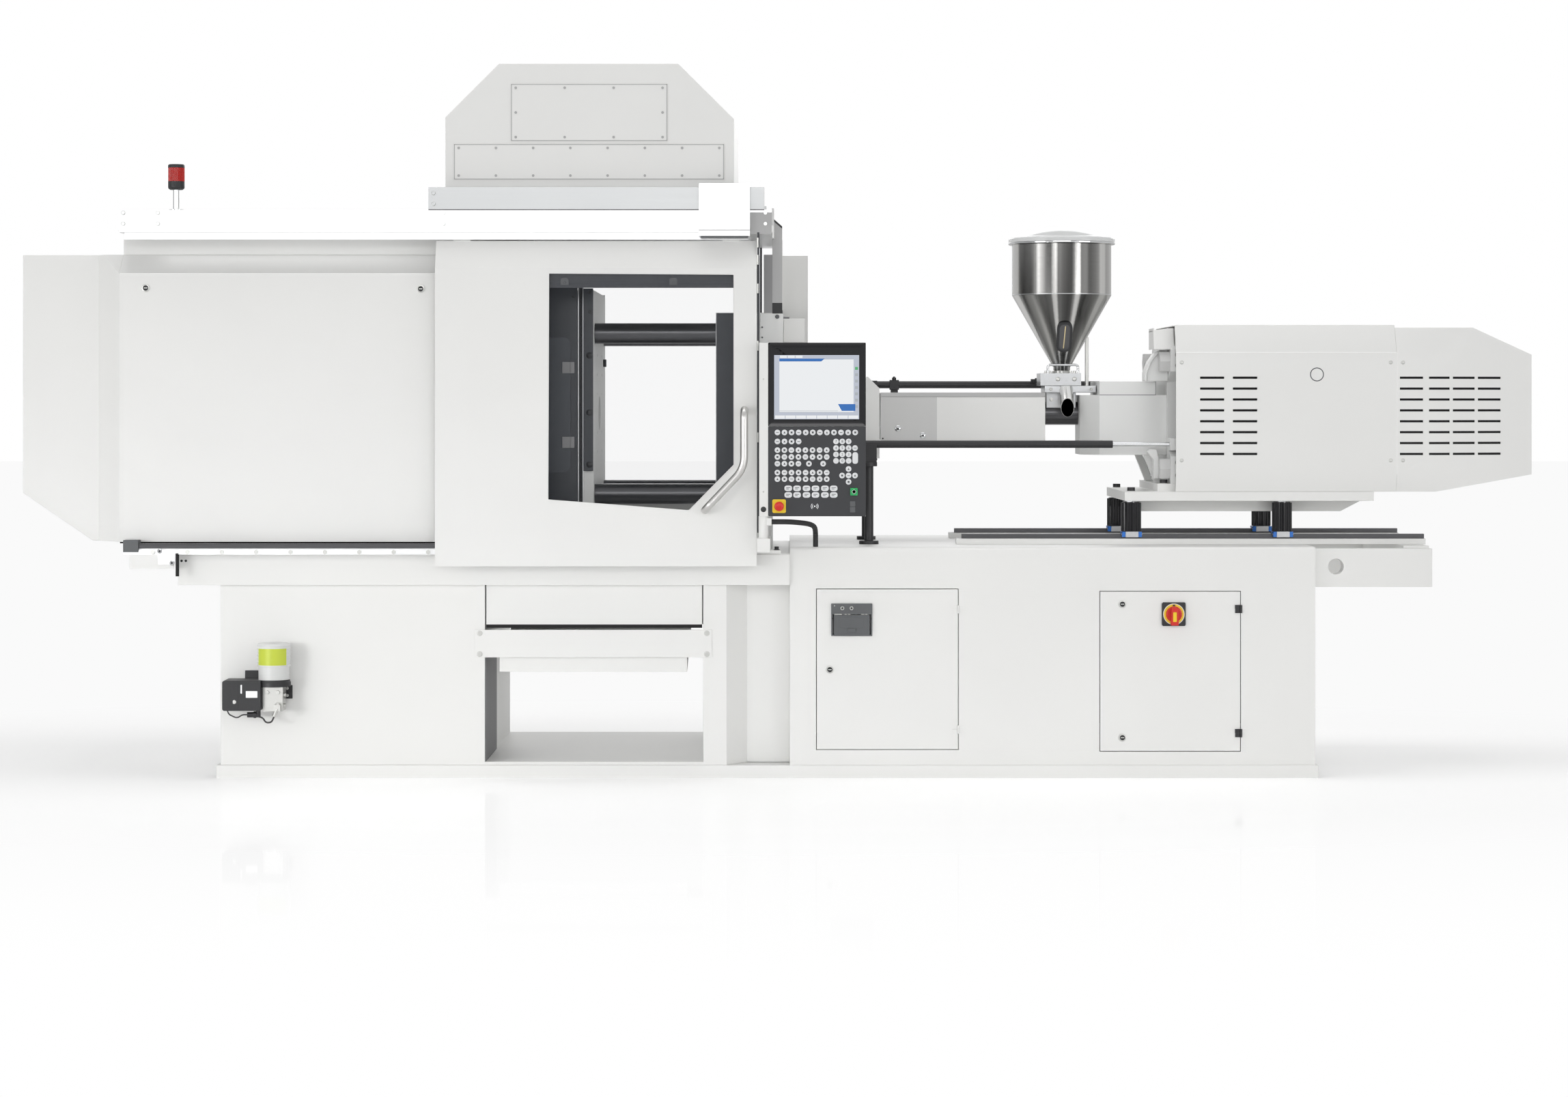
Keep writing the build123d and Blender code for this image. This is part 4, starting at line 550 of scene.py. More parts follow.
def tube(name, points, radius, finish_name, body, replaces=(), bend=30.0, resolution=8):
    """A round tube through points in millimetres, its corners rounded to the bend."""
    line = rounded_path(points, bend)
    curve = bpy.data.curves.new(name, "CURVE")
    curve.dimensions = "3D"
    curve.bevel_depth = radius * MM
    curve.bevel_resolution = resolution
    curve.use_fill_caps = True
    spline = curve.splines.new("POLY")
    spline.points.add(len(line) - 1)
    for slot_point, point in zip(spline.points, line):
        slot_point.co = (*(Vector(point) * MM), 1.0)
    holder = bpy.data.objects.new(name, curve)
    mesh = bpy.data.meshes.new_from_object(holder)
    bpy.data.objects.remove(holder)
    mesh.materials.clear()
    return placed(name, mesh, finish_name, body, replaces)


def rounded_path(points, bend):
    """An open path with an arc at every inner corner."""
    made = [Vector(points[0])]
    shares = [step / 8 for step in range(9)]
    for before, here, after in zip(points, points[1:], points[2:]):
        before, here, after = Vector(before), Vector(here), Vector(after)
        reach = min(bend, (before - here).length / 2, (after - here).length / 2)
        start = here + (before - here).normalized() * reach
        end = here + (after - here).normalized() * reach
        made += [start * (1 - t) ** 2 + here * 2 * t * (1 - t) + end * t ** 2 for t in shares]
    return made + [Vector(points[-1])]


def quarter_turn_lock(name, x, y, z, body):
    """A cam lock: a bright bezel with a dark insert and its double bar, standing on a front face."""
    radius = sizes().lock / MM
    bm = bmesh.new()
    turned(bm, [(radius * 0.62, 1.2), (radius * 0.70, 2.8), (radius * 0.95, 2.4), (radius, 0.0)], (x, y, z),
           FRONT)
    piece(name + " bezel", bm, "zinc", body, edge=0)
    bm = bmesh.new()
    turned(bm, [(0.0, 1.4), (radius * 0.64, 1.4), (radius * 0.64, 0.0)], (x, y, z), FRONT, 32)
    piece(name + " insert", bm, "black plastic", body, edge=0)
    bm = bmesh.new()
    slab(bm, (x - radius * 0.42, y - 2.3, z - 1.6), (x + radius * 0.42, y - 1.3, z + 1.6))
    piece(name + " bar", bm, "zinc", body, edge=0.4)


class Step:
    """What every operator here shares."""

    bl_options = {"REGISTER", "UNDO"}


class MOULDING_OT_stage(Step, Operator):
    """Makes the floor, the backdrop light, the lamps and the camera"""

    bl_idname = "moulding.stage"
    bl_label = "Stage"

    # The low lamps light the base alone
    low_beam = radians(26)

    def execute(self, context):
        self.floor()
        self.world()
        self.lamps()
        self.camera()
        return {"FINISHED"}

    def floor(self):
        """A matt floor that fades to white far off, with a faint mirror in front."""
        bm = bmesh.new()
        bmesh.ops.create_grid(bm, x_segments=1, y_segments=1, size=60.0)
        mesh = bpy.data.meshes.new("floor")
        bm.to_mesh(mesh)
        bm.free()
        floor = bpy.data.objects.new("floor", mesh)
        bpy.context.scene.collection.objects.link(floor)
        made = Finish("studio floor", {"Base Color": (0.90, 0.90, 0.90, 1.0), "Roughness": 0.7,
                                       "Specular IOR Level": 0.0})
        seen = made.node("ShaderNodeLightPath")
        lift = made.node("ShaderNodeEmission", inputs={"Color": (1, 1, 1, 1), "Strength": 0.04 + seen * 0.22})
        near = made.node("ShaderNodeAddShader", inputs={0: Value(made.tree, made.surface.outputs[0]),
                                                        1: lift})
        white = made.node("ShaderNodeEmission", inputs={"Color": (1, 1, 1, 1), "Strength": 1.0})
        reach = made.node("ShaderNodeVectorMath", {"operation": "LENGTH"}, {0: made.place((0.5, 1.0, 1.0))},
                          1)
        far = made.node("ShaderNodeMapRange", {"interpolation_type": "SMOOTHSTEP"},
                        {"Value": reach, "From Min": 1.5, "From Max": 2.6, "To Min": 0.0, "To Max": 1.0})
        matt = made.node("ShaderNodeMixShader", inputs={0: far * seen, 1: near, 2: white})
        sheen = made.node("ShaderNodeBsdfGlossy", inputs={"Color": (1, 1, 1, 1), "Roughness": 0.04})
        depth = made.node("ShaderNodeSeparateXYZ", inputs={0: made.place()}, output=1)
        fade = made.node("ShaderNodeMapRange", {"interpolation_type": "SMOOTHSTEP"},
                         {"Value": depth, "From Min": -4.6, "From Max": -0.55, "To Min": 0.0, "To Max": 0.13})
        top = made.node("ShaderNodeMixShader", inputs={0: fade, 1: matt, 2: sheen})
        output = made.tree.nodes["Material Output"]
        made.tree.links.new(top.socket, output.inputs["Surface"])
        mesh.materials.append(made.material)

    def world(self):
        """A white backdrop for the camera and a softer light for everything else."""
        world = bpy.data.worlds.new("studio")
        bpy.context.scene.world = world
        world.use_nodes = True
        tree = world.node_tree
        backdrop = tree.nodes["Background"]
        backdrop.inputs["Color"].default_value = (1.0, 1.0, 1.0, 1.0)
        path = tree.nodes.new("ShaderNodeLightPath")
        camera, glossy, clear = (Value(tree, path.outputs[name])
                                 for name in ("Is Camera Ray", "Is Glossy Ray", "Is Transmission Ray"))
        seen = camera.join("MAXIMUM", camera, clear)
        strength = (1 - seen) * (0.50 + glossy * 0.16) + seen
        tree.links.new(strength.socket, backdrop.inputs["Strength"])

    def lamps(self):
        """Area lamps: place, target, width, height and power."""
        aims = {"left": ((-9.0, -8.0, 3.0), (-0.5, 0.0, 1.0), 5.0, 4.0, 175.0),
                "right": ((9.5, -8.0, 3.0), (0.8, 0.0, 1.0), 5.0, 4.0, 100.0),
                "low left": ((-6.5, -9.5, 0.9), (-1.2, 0.0, 0.05), 3.0, 1.0, 7.4),
                "low right": ((6.5, -9.5, 0.9), (1.0, 0.0, 0.05), 3.0, 1.0, 3.4),
                "front": ((0.3, -13.0, 4.0), (0.3, 0.0, 0.9), 9.0, 2.6, 190.0),
                "top": ((0.3, -0.6, 6.4), (0.3, 0.0, 1.0), 7.0, 2.5, 105.0),
                "rear": ((1.0, 7.0, 4.0), (0.2, 0.0, 1.2), 7.0, 3.0, 120.0)}
        for name, (place, target, width, height, power) in aims.items():
            lamp = bpy.data.lights.new(name, "AREA")
            lamp.shape = "RECTANGLE"
            lamp.size = width
            lamp.size_y = height
            lamp.energy = power
            if name.startswith("low"):
                lamp.spread = self.low_beam
            holder = bpy.data.objects.new(name, lamp)
            holder.location = place
            holder.visible_camera = False
            holder.rotation_euler = (Vector(target) - Vector(place)).to_track_quat("-Z", "Y").to_euler()
            bpy.context.scene.collection.objects.link(holder)

    def camera(self):
        """The photograph's view: square to the front, its centre lowered by the shift."""
        lens = bpy.data.cameras.new("camera")
        lens.sensor_width = 36.0
        lens.lens = 75.13
        lens.shift_x = -0.0022
        lens.shift_y = -0.0939
        lens.clip_end = 200.0
        holder = bpy.data.objects.new("camera", lens)
        holder.location = (0.255, -12.02, 1.323)
        holder.rotation_euler = (pi / 2, 0.0, 0.0)
        bpy.context.scene.collection.objects.link(holder)
        bpy.context.scene.camera = holder
        bpy.context.scene.view_settings.view_transform = "Standard"


class MOULDING_OT_solids(Step, Operator):
    """Gives the CAD solids of its groups soft edges and their finishes"""

    bl_idname = "moulding.solids"
    bl_label = "Dressed solids"

    # Finish, edge in millimetres and the nodes that take them
    groups = (
        ("white coat", 3.0, ("clamp_cover", "clamp_end_cover", "hood_shell", "injection_cover",
                             "rear_cover")),
        ("white coat", 1.2, ("clamp_base", "chute_plates", "clamp_bed", "injection_base", "left_cabinet_door",
                             "right_cabinet_door", "hood_panels", "base_plinth", "guard_posts", "purge_guard",
                             "barrel_guard", "carriage", "panel_arm")),
        ("casting paint", 2.4, ("fixed_platen", "moving_platen", "tail_platen", "injection_housing",
                                "injection_frame", "pressure_plate", "upper_rear_link", "lower_rear_link",
                                "upper_front_link", "lower_front_link", "crosshead", "upper_crosshead_link",
                                "lower_crosshead_link")),
        ("aluminium", 0.8, ("roof_beams", "door_rails")),
        ("dull aluminium", 0.8, ("hood_beams",)),
        ("ground steel", 0.8, ("ejector", "plasticising_screw")),
        ("dark steel", 0.8, ("injection_rails", "tie_bars")),
        ("black coat", 0.8, ("nozzle_drive_tubes",)),
        ("grey plastic", 0.8, ("control_modules", "clamp_motor")),
        ("machined steel", 0.8, ("barrel",)),
        ("rubber", 0.0, ("panel_hose",)),
    )
    # Faces of a dressed solid that have another finish: the boxes that hold their centres
    patches = {
        # Dark sheets on the platens' sides are painted shade for the light castings in shade behind the
        # window
        "fixed_platen": (("dark guard", *both((1, -378, 790), (119, -370.5, 1640))),),
        "moving_platen": (("dark guard", *both((-637, -378, 796), (-490, -370.5, 1730)),
                           *both((-473, -384, 1070), (-435, -370.5, 1728))),),
        "injection_housing": (
            ("machined steel", ((1190, -92, 1354), (1383, 92, 1382)), ((1200, -47, 1290), (1312, 47, 1356))),
            ("stainless", ((1245, -152, 1240), (1297, -47, 1354.5))),
            ("zinc", ((1354, 58, 1382), (1369, 92, 1562)))),
        "carriage": (("black coat", *both((1474, -274, 1001), (1506, -240, 1016)),
                      *both((1591, -274, 1029), (1623, -240, 1044))),),
        "injection_frame": (("chrome", *both((1118, -284, 1160), (1600, -266, 1178)),
                             *both((1118, -234, 1376), (1600, -216, 1394))),
                            ("guard grey", *both((1588.5, -300, 1040), (1628.5, -215, 1125)),
                             *both((1588.5, -300, 1420), (1628.5, -215, 1506)))),
        "hood_panels": (("seam pale", ((-1000, -547, 2000), (100, -543.4, 2500))),),
        "left_cabinet_door": (("grey plastic", ((407, -528, 496), (555, -480, 614))),),
        "barrel": (("dark steel", ((1142, -48, 1222), (1386, 48, 1326))),),
        "door_rails": (("dark steel", *both((-2012, -607, 811), (120, -583, 830))),),
        "injection_rails": (("white coat", *both((859, -299, 810), (2542, -217, 830.9))),),
        "guard_posts": (("dark guard", *both((149, -606, 847), (157.6, -558, 1915))),),
    }

    def execute(self, context):
        for finish_name, edge, nodes in self.groups:
            for node in nodes:
                made = dress(node, finish_name, edge)
                for patch, *boxes in self.patches.get(node, ()):
                    recolour(made, patch, *boxes)
        return {"FINISHED"}


class MOULDING_OT_base(Step, Operator):
    """Adds locks, hinges, the service box, the main switch and the panels of the base"""

    bl_idname = "moulding.base"
    bl_label = "Base fittings"

    front = -520.0

    def execute(self, context):
        self.locks()
        self.hinges()
        self.service_box()
        self.switch()
        self.sheets()
        self.rail_end()
        return {"FINISHED"}

    def locks(self):
        """Locks of the base doors and of the clamp cover."""
        for x, z, body in ((404, 380, "left_door"), (1432, 610, "right_door"), (1432, 141, "right_door")):
            quarter_turn_lock(f"{body} lock {z}", x, self.front - 3, z, body)
        for x, z in ((-1992, 1720), (-1029, 1717)):
            quarter_turn_lock(f"cover lock {-x}", x, -563, z, "frame")

    def hinges(self):
        """The right door's black hinges: a leaf and half a knuckle on each side."""
        for z in (157, 593):
            for body, low, high, leaf in (("right_door", z - 14.3, z, 1827.5),
                                          ("frame", z, z + 14.3, 1827.5)):
                bm = bmesh.new()
                slab(bm, (leaf, self.front - 5.6, low), (1843.5, self.front, high))
                rod(bm, (1848, -526, low), (1848, -526, high), 4.6, 20)
                piece(f"hinge {body} {z}", bm, "black plastic", body, edge=0.5)

    def service_box(self):
        """The service box on the left door: head, sockets, hinge and flap."""
        face = self.front - 6
        single("service head", "grey plastic", "left_door", 0.5, front_plate,
               rounded([(408.6, 575), (553.4, 575), (553.4, 612.4), (408.6, 612.4)], [0.1, 0.1, 2, 2]),
               face - 0.6, face + 3)
        bm = bmesh.new()
        for x in (447.7, 480.0):
            turned(bm, [(3.0, 0.4), (3.6, 2.0), (6.4, 2.0), (7.3, 0.6), (7.3, 0.0)], (x, face - 0.6, 596),
                   FRONT, 28)
        piece("service sockets", bm, "zinc", "left_door", edge=0)
        bm = bmesh.new()
        for x in (447.7, 480.0):
            turned(bm, [(0.0, 0.9), (3.2, 0.9), (3.2, 0.0)], (x, face - 0.6, 596), FRONT, 20)
        for x in (412.5, 549.0):
            turned(bm, [(0.0, 1.2), (1.6, 1.0), (2.2, 0.0)], (x, face, 559.5), FRONT, 16)
        piece("service plugs", bm, "black plastic", "left_door", edge=0)
        bm = bmesh.new()
        turned(bm, [(0.0, 1.2), (1.8, 1.0), (2.4, 0.0)], (420.5, face - 0.6, 604.5), FRONT, 16)
        for x0, x1 in ((420, 446), (456, 462), (468, 476), (514, 524), (528, 536)):
            rod(bm, (x0, face - 0.4, 574.4), (x1, face - 0.4, 574.4), 1.7, 14)
        piece("service hinge", bm, "zinc", "left_door", edge=0)
        bm = bmesh.new()
        outline = rounded([(418, 503), (544, 503), (544, 572), (418, 572)], 3)
        front_plate(bm, outline, self.front - 5.5, self.front - 1)
        raised = rounded([(437.5, 525), (523.0, 525), (523.0, 562), (437.5, 562)], [16, 16, 4, 4])
        front_plate(bm, raised, self.front - 7.0, self.front - 5.5)
        front_plate(bm, rounded([(466, 511), (494, 511), (494, 526), (466, 526)], 3), self.front - 11,
                    self.front - 5)
        rod(bm, (416, self.front - 3, 578), (546, self.front - 3, 578), 2.4, 14)
        piece("service flap", bm, "grey plastic", "flap", ("service_flap",), edge=0.6)

    def switch(self):
        """The main switch on the right door, its pointer straight up."""
        x, z, face = 1612.0, 575.0, self.front - 8
        single("switch plate", "black plastic", "right_door", 1.0, front_plate, oblong(x, z, 83, 83, 6),
               face - 0.6, self.front)
        single("switch disc", "yellow", "right_door", 0, turned,
               [(0.0, 3.4), (34.5, 3.4), (36.5, 2.4), (37.3, 0.0)], (x, face, z), FRONT, 64)
        bm = bmesh.new()
        turned(bm, [(0.0, 9.6), (25.0, 9.6), (27.6, 7.6), (28.4, 0.6), (28.4, 0.3)], (x, face - 3, z), FRONT,
               56)
        bar = [(x - 11, z + 25), (x - 13, z - 20), (x - 14.5, z - 38), (x + 14.5, z - 38), (x + 13, z - 20),
               (x + 11, z + 25)]
        front_plate(bm, rounded(bar, [6, 2, 5, 5, 2, 6]), face - 33.0, face - 12)
        piece("switch handle", bm, "red", "switch", ("main_switch",), edge=1.6, segments=3)
        single("switch pointer", "yellow", "switch", 0.2, front_plate, oblong(x, z - 8, 12.5, 34, 1.5),
               face - 33.6, face - 32.8)
        bm = bmesh.new()
        for shift in (33, -33):
            turned(bm, [(0.0, 1.4), (3.6, 1.2), (4.4, 0.0)], (x + shift, face - 0.6, z + shift), FRONT, 16)
        front_plate(bm, oblong(x, z + 31.5, 9, 5, 1), face - 4.0, face - 3.2)
        piece("switch marks", bm, "black plastic", "right_door", edge=0)

    def sheets(self):
        """The fixed middle panel, the plinth's end caps and the bolts of the cross plate."""
        single("middle panel", "white coat", "frame", 0.6, front_plate,
               rounded([(858.5, 96), (1348.5, 96), (1348.5, 658), (858.5, 658)], 3), self.front - 1.6,
               self.front + 1)
        bm = bmesh.new()
        for x0, x1 in ((-1752.0, -1748.0), (2117.0, 2121.0)):
            for middle in (-485, 0, 485):
                slab(bm, (x0 + 0.5, middle - 44, 1), (x1 - 0.5, middle + 44, 43))
        piece("plinth caps", bm, "black plastic", "frame", edge=0.8)
        bm = bmesh.new()
        for x in (-826, -28):
            for z in (435, 508):
                hexagon(bm, (x, -526, z), 14.0, 6.5)
                turned(bm, [(0.0, 0.8), (10.0, 0.8), (10.0, 0.0)], (x, -526, z), FRONT, 24)
        piece("cross plate bolts", bm, "zinc", "frame", edge=0.5)
        single("chute head panel", "white coat", "frame", 0.8, front_plate,
               [(-804, 538), (-45, 538), (-45, 688), (-804, 688)], -514, -510)
        # A black strip is painted shade in the gap under the chute head panel
        single("chute head gap", "liner black", "frame", 0, front_plate,
               [(-804, 526), (-45, 526), (-45, 538.5), (-804, 538.5)], -512, -509)
        slabs("chute side sheet", "seam grey", "frame", 0, ((-807.7, -515, 57), (-804.5, -92, 420)))

    def rail_end(self):
        """The plate, the dark box and the bracket that hold the door rail's far end."""
        bm = bmesh.new()
        front_plate(bm, rounded([(-2041, 738), (-1886, 738), (-1886, 804), (-2041, 804)], [3, 0.1, 0.1, 1]),
                    -600, -596)
        slab(bm, (-2041, -596, 760), (-2036, -520, 788))
        piece("rail end plate", bm, "white coat", "frame", edge=0.8)
        slabs("rail end box", "grey plastic", "frame", 1.5,
              ((-2061.5, -612.5, 796.6), (-2008.5, -564.5, 838.5)))
        slabs("rail end bracket", "aluminium", "frame", 0.8, ((-1940, -604, 753), (-1882, -600, 789)))
        bm = bmesh.new()
        for x, z in ((-1935, 800), (-1892, 759)):
            turned(bm, [(0.0, 3.4), (6.8, 3.4), (8.6, 1.6), (8.6, 0.0)], (x, -604.5, z), FRONT, 24)
        piece("rail end bolts", bm, "chrome", "frame", edge=0)
        bm = bmesh.new()
        for x, z in ((-1935, 800), (-1892, 759)):
            hexagon(bm, (x, -607.0, z), 7.0, 1.2)
        piece("rail end sockets", bm, "black plastic", "frame", edge=0)


def seam(bm, x0, x1, z0, z1, y, width):
    """A thin raised line round a rectangle that faces the front."""
    depth = 0.5
    for low, high in (((x0, z0), (x1, z0 + width)), ((x0, z1 - width), (x1, z1)),
                      ((x0, z0), (x0 + width, z1)), ((x1 - width, z0), (x1, z1))):
        slab(bm, (low[0], y - depth, low[1]), (high[0], y, high[1]))


class MOULDING_OT_guards(Step, Operator):
    """Adds screws, end plates, columns and cover strips to the guards and beams"""

    bl_idname = "moulding.guards"
    bl_label = "Guard fittings"

    beam_front = -600

    def execute(self, context):
        self.screws()
        self.beam_end()
        self.cover_strip()
        self.column_fittings()
        self.rear_boxes()
        return {"FINISHED"}

    def screws(self):
        """Screws of the beams and the rail; the covers' gaps in painted shade black, their seams, and painted
        highlights along their folds.
        """
        head = sizes().hex_screw / MM
        bm = bmesh.new()
        for x in (-2063, -1942, -945, 178):
            for z in (1943, 1981):
                socket_screw(bm, (x, self.beam_front, z), head + 0.6, 6.0)
        piece("beam screws", bm, "zinc", "frame", edge=0.4)
        bm = bmesh.new()
        for z in (2012.3, 2050.3):
            socket_screw(bm, (-980, self.beam_front, z), head + 0.6, 6.0)
        piece("hood beam screws", bm, "zinc", "hood", edge=0.4)
        bm = bmesh.new()
        for k in range(9):
            hexagon(bm, (-1958 + 120 * k, -605, 797), 14.4, 6.6)
        piece("rail bolts", bm, "zinc", "frame", edge=0.5)
        # A black strip is painted shade in the gap between the hood beam and the roof beam
        slabs("beam gap", "liner black", "hood", 0, ((-998, -600.7, 1990.6), (174, -599.5, 1993.6)))
        single("recess panel", "white coat", "frame", 0.8, front_plate,
               [(-2083, 1840.5), (-976, 1840.5), (-976, 1893), (-2083, 1893)], -484, -481)
        bm = bmesh.new()
        for x0, x1, z0, z1 in ((-713, -168, 2238, 2435), (-913, 31, 2103, 2224)):
            seam(bm, x0 - 1, x1 + 1, z0 - 1, z1 + 1, -542.8, 2.4)
        piece("hood seams", bm, "seam pale", "hood", edge=0)
        # Pale rods along the cover's fold and top edge are painted highlights where the folds catch light
        bm = bmesh.new()
        for y, z in ((-560.0, 1771.0), (-480.6, 1841.5)):
            rod(bm, (-2083, y, z), (-977, y, z), 1.5, 10)
        piece("cover folds", bm, "white edge", "frame", edge=0)
        # The black strip under the cover's lower edge is painted shade in the gap; the small plate and rods
        # share its black
        bm = bmesh.new()
        slab(bm, (-2083, -558, 825.5), (-977, -548, 831.2))
        slab(bm, (-1879.5, -605.0, 712), (-1868.5, -596, 793))
        for x, z in ((-1860, 766), (-1845, 766)):
            rod(bm, (x, -600.6, z), (x, -596, z), 4.2, 20)
        piece("cover gap", bm, "liner black", "frame", edge=0)

    def beam_end(self):
        """The raw plate that closes the roof beam and the thin upright plate beside it."""
        slabs("beam end plate", "seam pale", "frame", 0.6, ((124.5, -603, 1906), (200.5, -599, 1982.5)))
        slabs("beam side plate", "guard grey", "frame", 0.6, ((200.8, -604, 1937), (207.2, -560, 1997)))

    def cover_strip(self):
        """The folded aluminium cover over the beam's gap, ribbed along its length."""
        bm = bmesh.new()
        section = [(-625.6, 1899), (-625.6, 1918), (-628.0, 1921), (-628.0, 1971), (-625.6, 1975),
                   (-625.6, 2083.5), (-607.5, 2083.5), (-607.5, 1992.5), (-601, 1990), (-601, 1899)]
        extruded(bm, [(-53.6, y, z) for y, z in section], (178.2, 0, 0))
        piece("beam cover strip", bm, "aluminium", "frame", edge=0.8)
        slabs("beam cover foot", "grey plastic", "frame", 1.5, ((-48, -622, 1893), (119, -604, 1899)))

    def column_fittings(self):
        """Black sleeves on the columns' feet, the ribbed white box and the small screws."""
        bm = bmesh.new()
        for side in (-1, 1):
            near, far = sorted((side * 429.4, side * 500.6))
            slab(bm, (201.4, near, 1632.3), (236.8, far, 1670))
        piece("column feet", bm, "black plastic", "frame", edge=1.0)
        bm = bmesh.new()
        side_points = [(201.6, 1670), (236.6, 1670), (236.6, 1938), (201.6, 1968.6)]
        extruded(bm, [(x, -501.0, z) for x, z in side_points], (0, 1.4, 0))
        piece("column face", bm, "column grey", "frame", edge=0.4)
        slabs("column side", "column dark", "frame", 0.4, ((171.6, -501.0, 1634), (201.4, -499.6, 1839.4)))
        single("column top seal", "black plastic", "frame", 0, extruded,
               [(x, -501.6, z) for x, z in ((201.6, 1969.6), (236.6, 1939), (236.6, 1930.5), (201.6, 1961))],
               (0, 1.4, 0))
        bm = bmesh.new()
        for z in (1548, 1569, 1590):
            rod(bm, (242, -430.6, z), (314, -430.6, z), 1.6, 12)
        front_plate(bm, rounded([(242, 1533), (314, 1533), (314, 1614), (242, 1614)], 6), -432.2, -430)
        piece("ribbed box", bm, "white coat", "frame", edge=0.8)
        bm = bmesh.new()
        turned(bm, [(0.0, 4.0), (6.0, 4.0), (7.4, 2.0), (7.4, 0.0)], (219, -500.5, 1621), FRONT, 24)
        for z in (1548, 1584):
            turned(bm, [(0.0, 1.6), (2.4, 1.4), (3.2, 0.0)], (166, -500.3, z), FRONT, 16)
        piece("bracket screws", bm, "grey plastic", "frame", edge=0)

    def rear_boxes(self):
        """Small grey boxes on the rear track that show over the roof beam."""
        slabs("rear track box", "column grey", "hood", 1.0, ((51, 510, 2071.5), (90, 560, 2098)))
        slabs("rear track stop", "column dark", "hood", 1.0, ((92.7, 522, 2071.5), (119.5, 560, 2098)))


class MOULDING_OT_beacon(Step, Operator):
    """Makes the signal beacon: post, ribbed lens and caps"""

    bl_idname = "moulding.beacon"
    bl_label = "Signal beacon"

    x, y = -1885, -560
    ribs, rib_ring = 36, 26.4

    def execute(self, context):
        middle = (self.x, self.y, 0)
        bm = bmesh.new()
        turned(bm, [(0.0, 1992.2), (25.5, 1992.2), (25.5, 1995.0), (13.0, 1996.0), (11.4, 1998.0),
                    (11.4, 2065), (0.0, 2065)], middle, UP, 40)
        piece("beacon post", bm, "chrome", "frame", ("signal_beacon",), edge=0)
        bm = bmesh.new()
        turned(bm, [(0.0, 2064), (22.0, 2064), (26.5, 2067), (28.6, 2072), (28.6, 2093), (0.0, 2093)], middle,
               UP, 48)
        turned(bm, [(0.0, 2141), (28.8, 2141), (28.8, 2149), (26.0, 2152.6), (0.0, 2152.8)], middle, UP, 48)
        piece("beacon caps", bm, "black plastic", "frame", edge=0)
        bm = bmesh.new()
        for k in range(self.ribs):
            turn = 2 * pi * k / self.ribs
            x, y = self.x + self.rib_ring * cos(turn), self.y + self.rib_ring * sin(turn)
            rod(bm, (x, y, 2093.2), (x, y, 2140.8), 2.1, 8)
        piece("beacon ribs", bm, "lens red", "frame", edge=0)
        single("beacon lens", "lens red", "frame", 0, turned,
               [(0.0, 2092.8), (26.6, 2092.8), (26.6, 2141.2), (0.0, 2141.2)], middle, UP, 48)
        return {"FINISHED"}


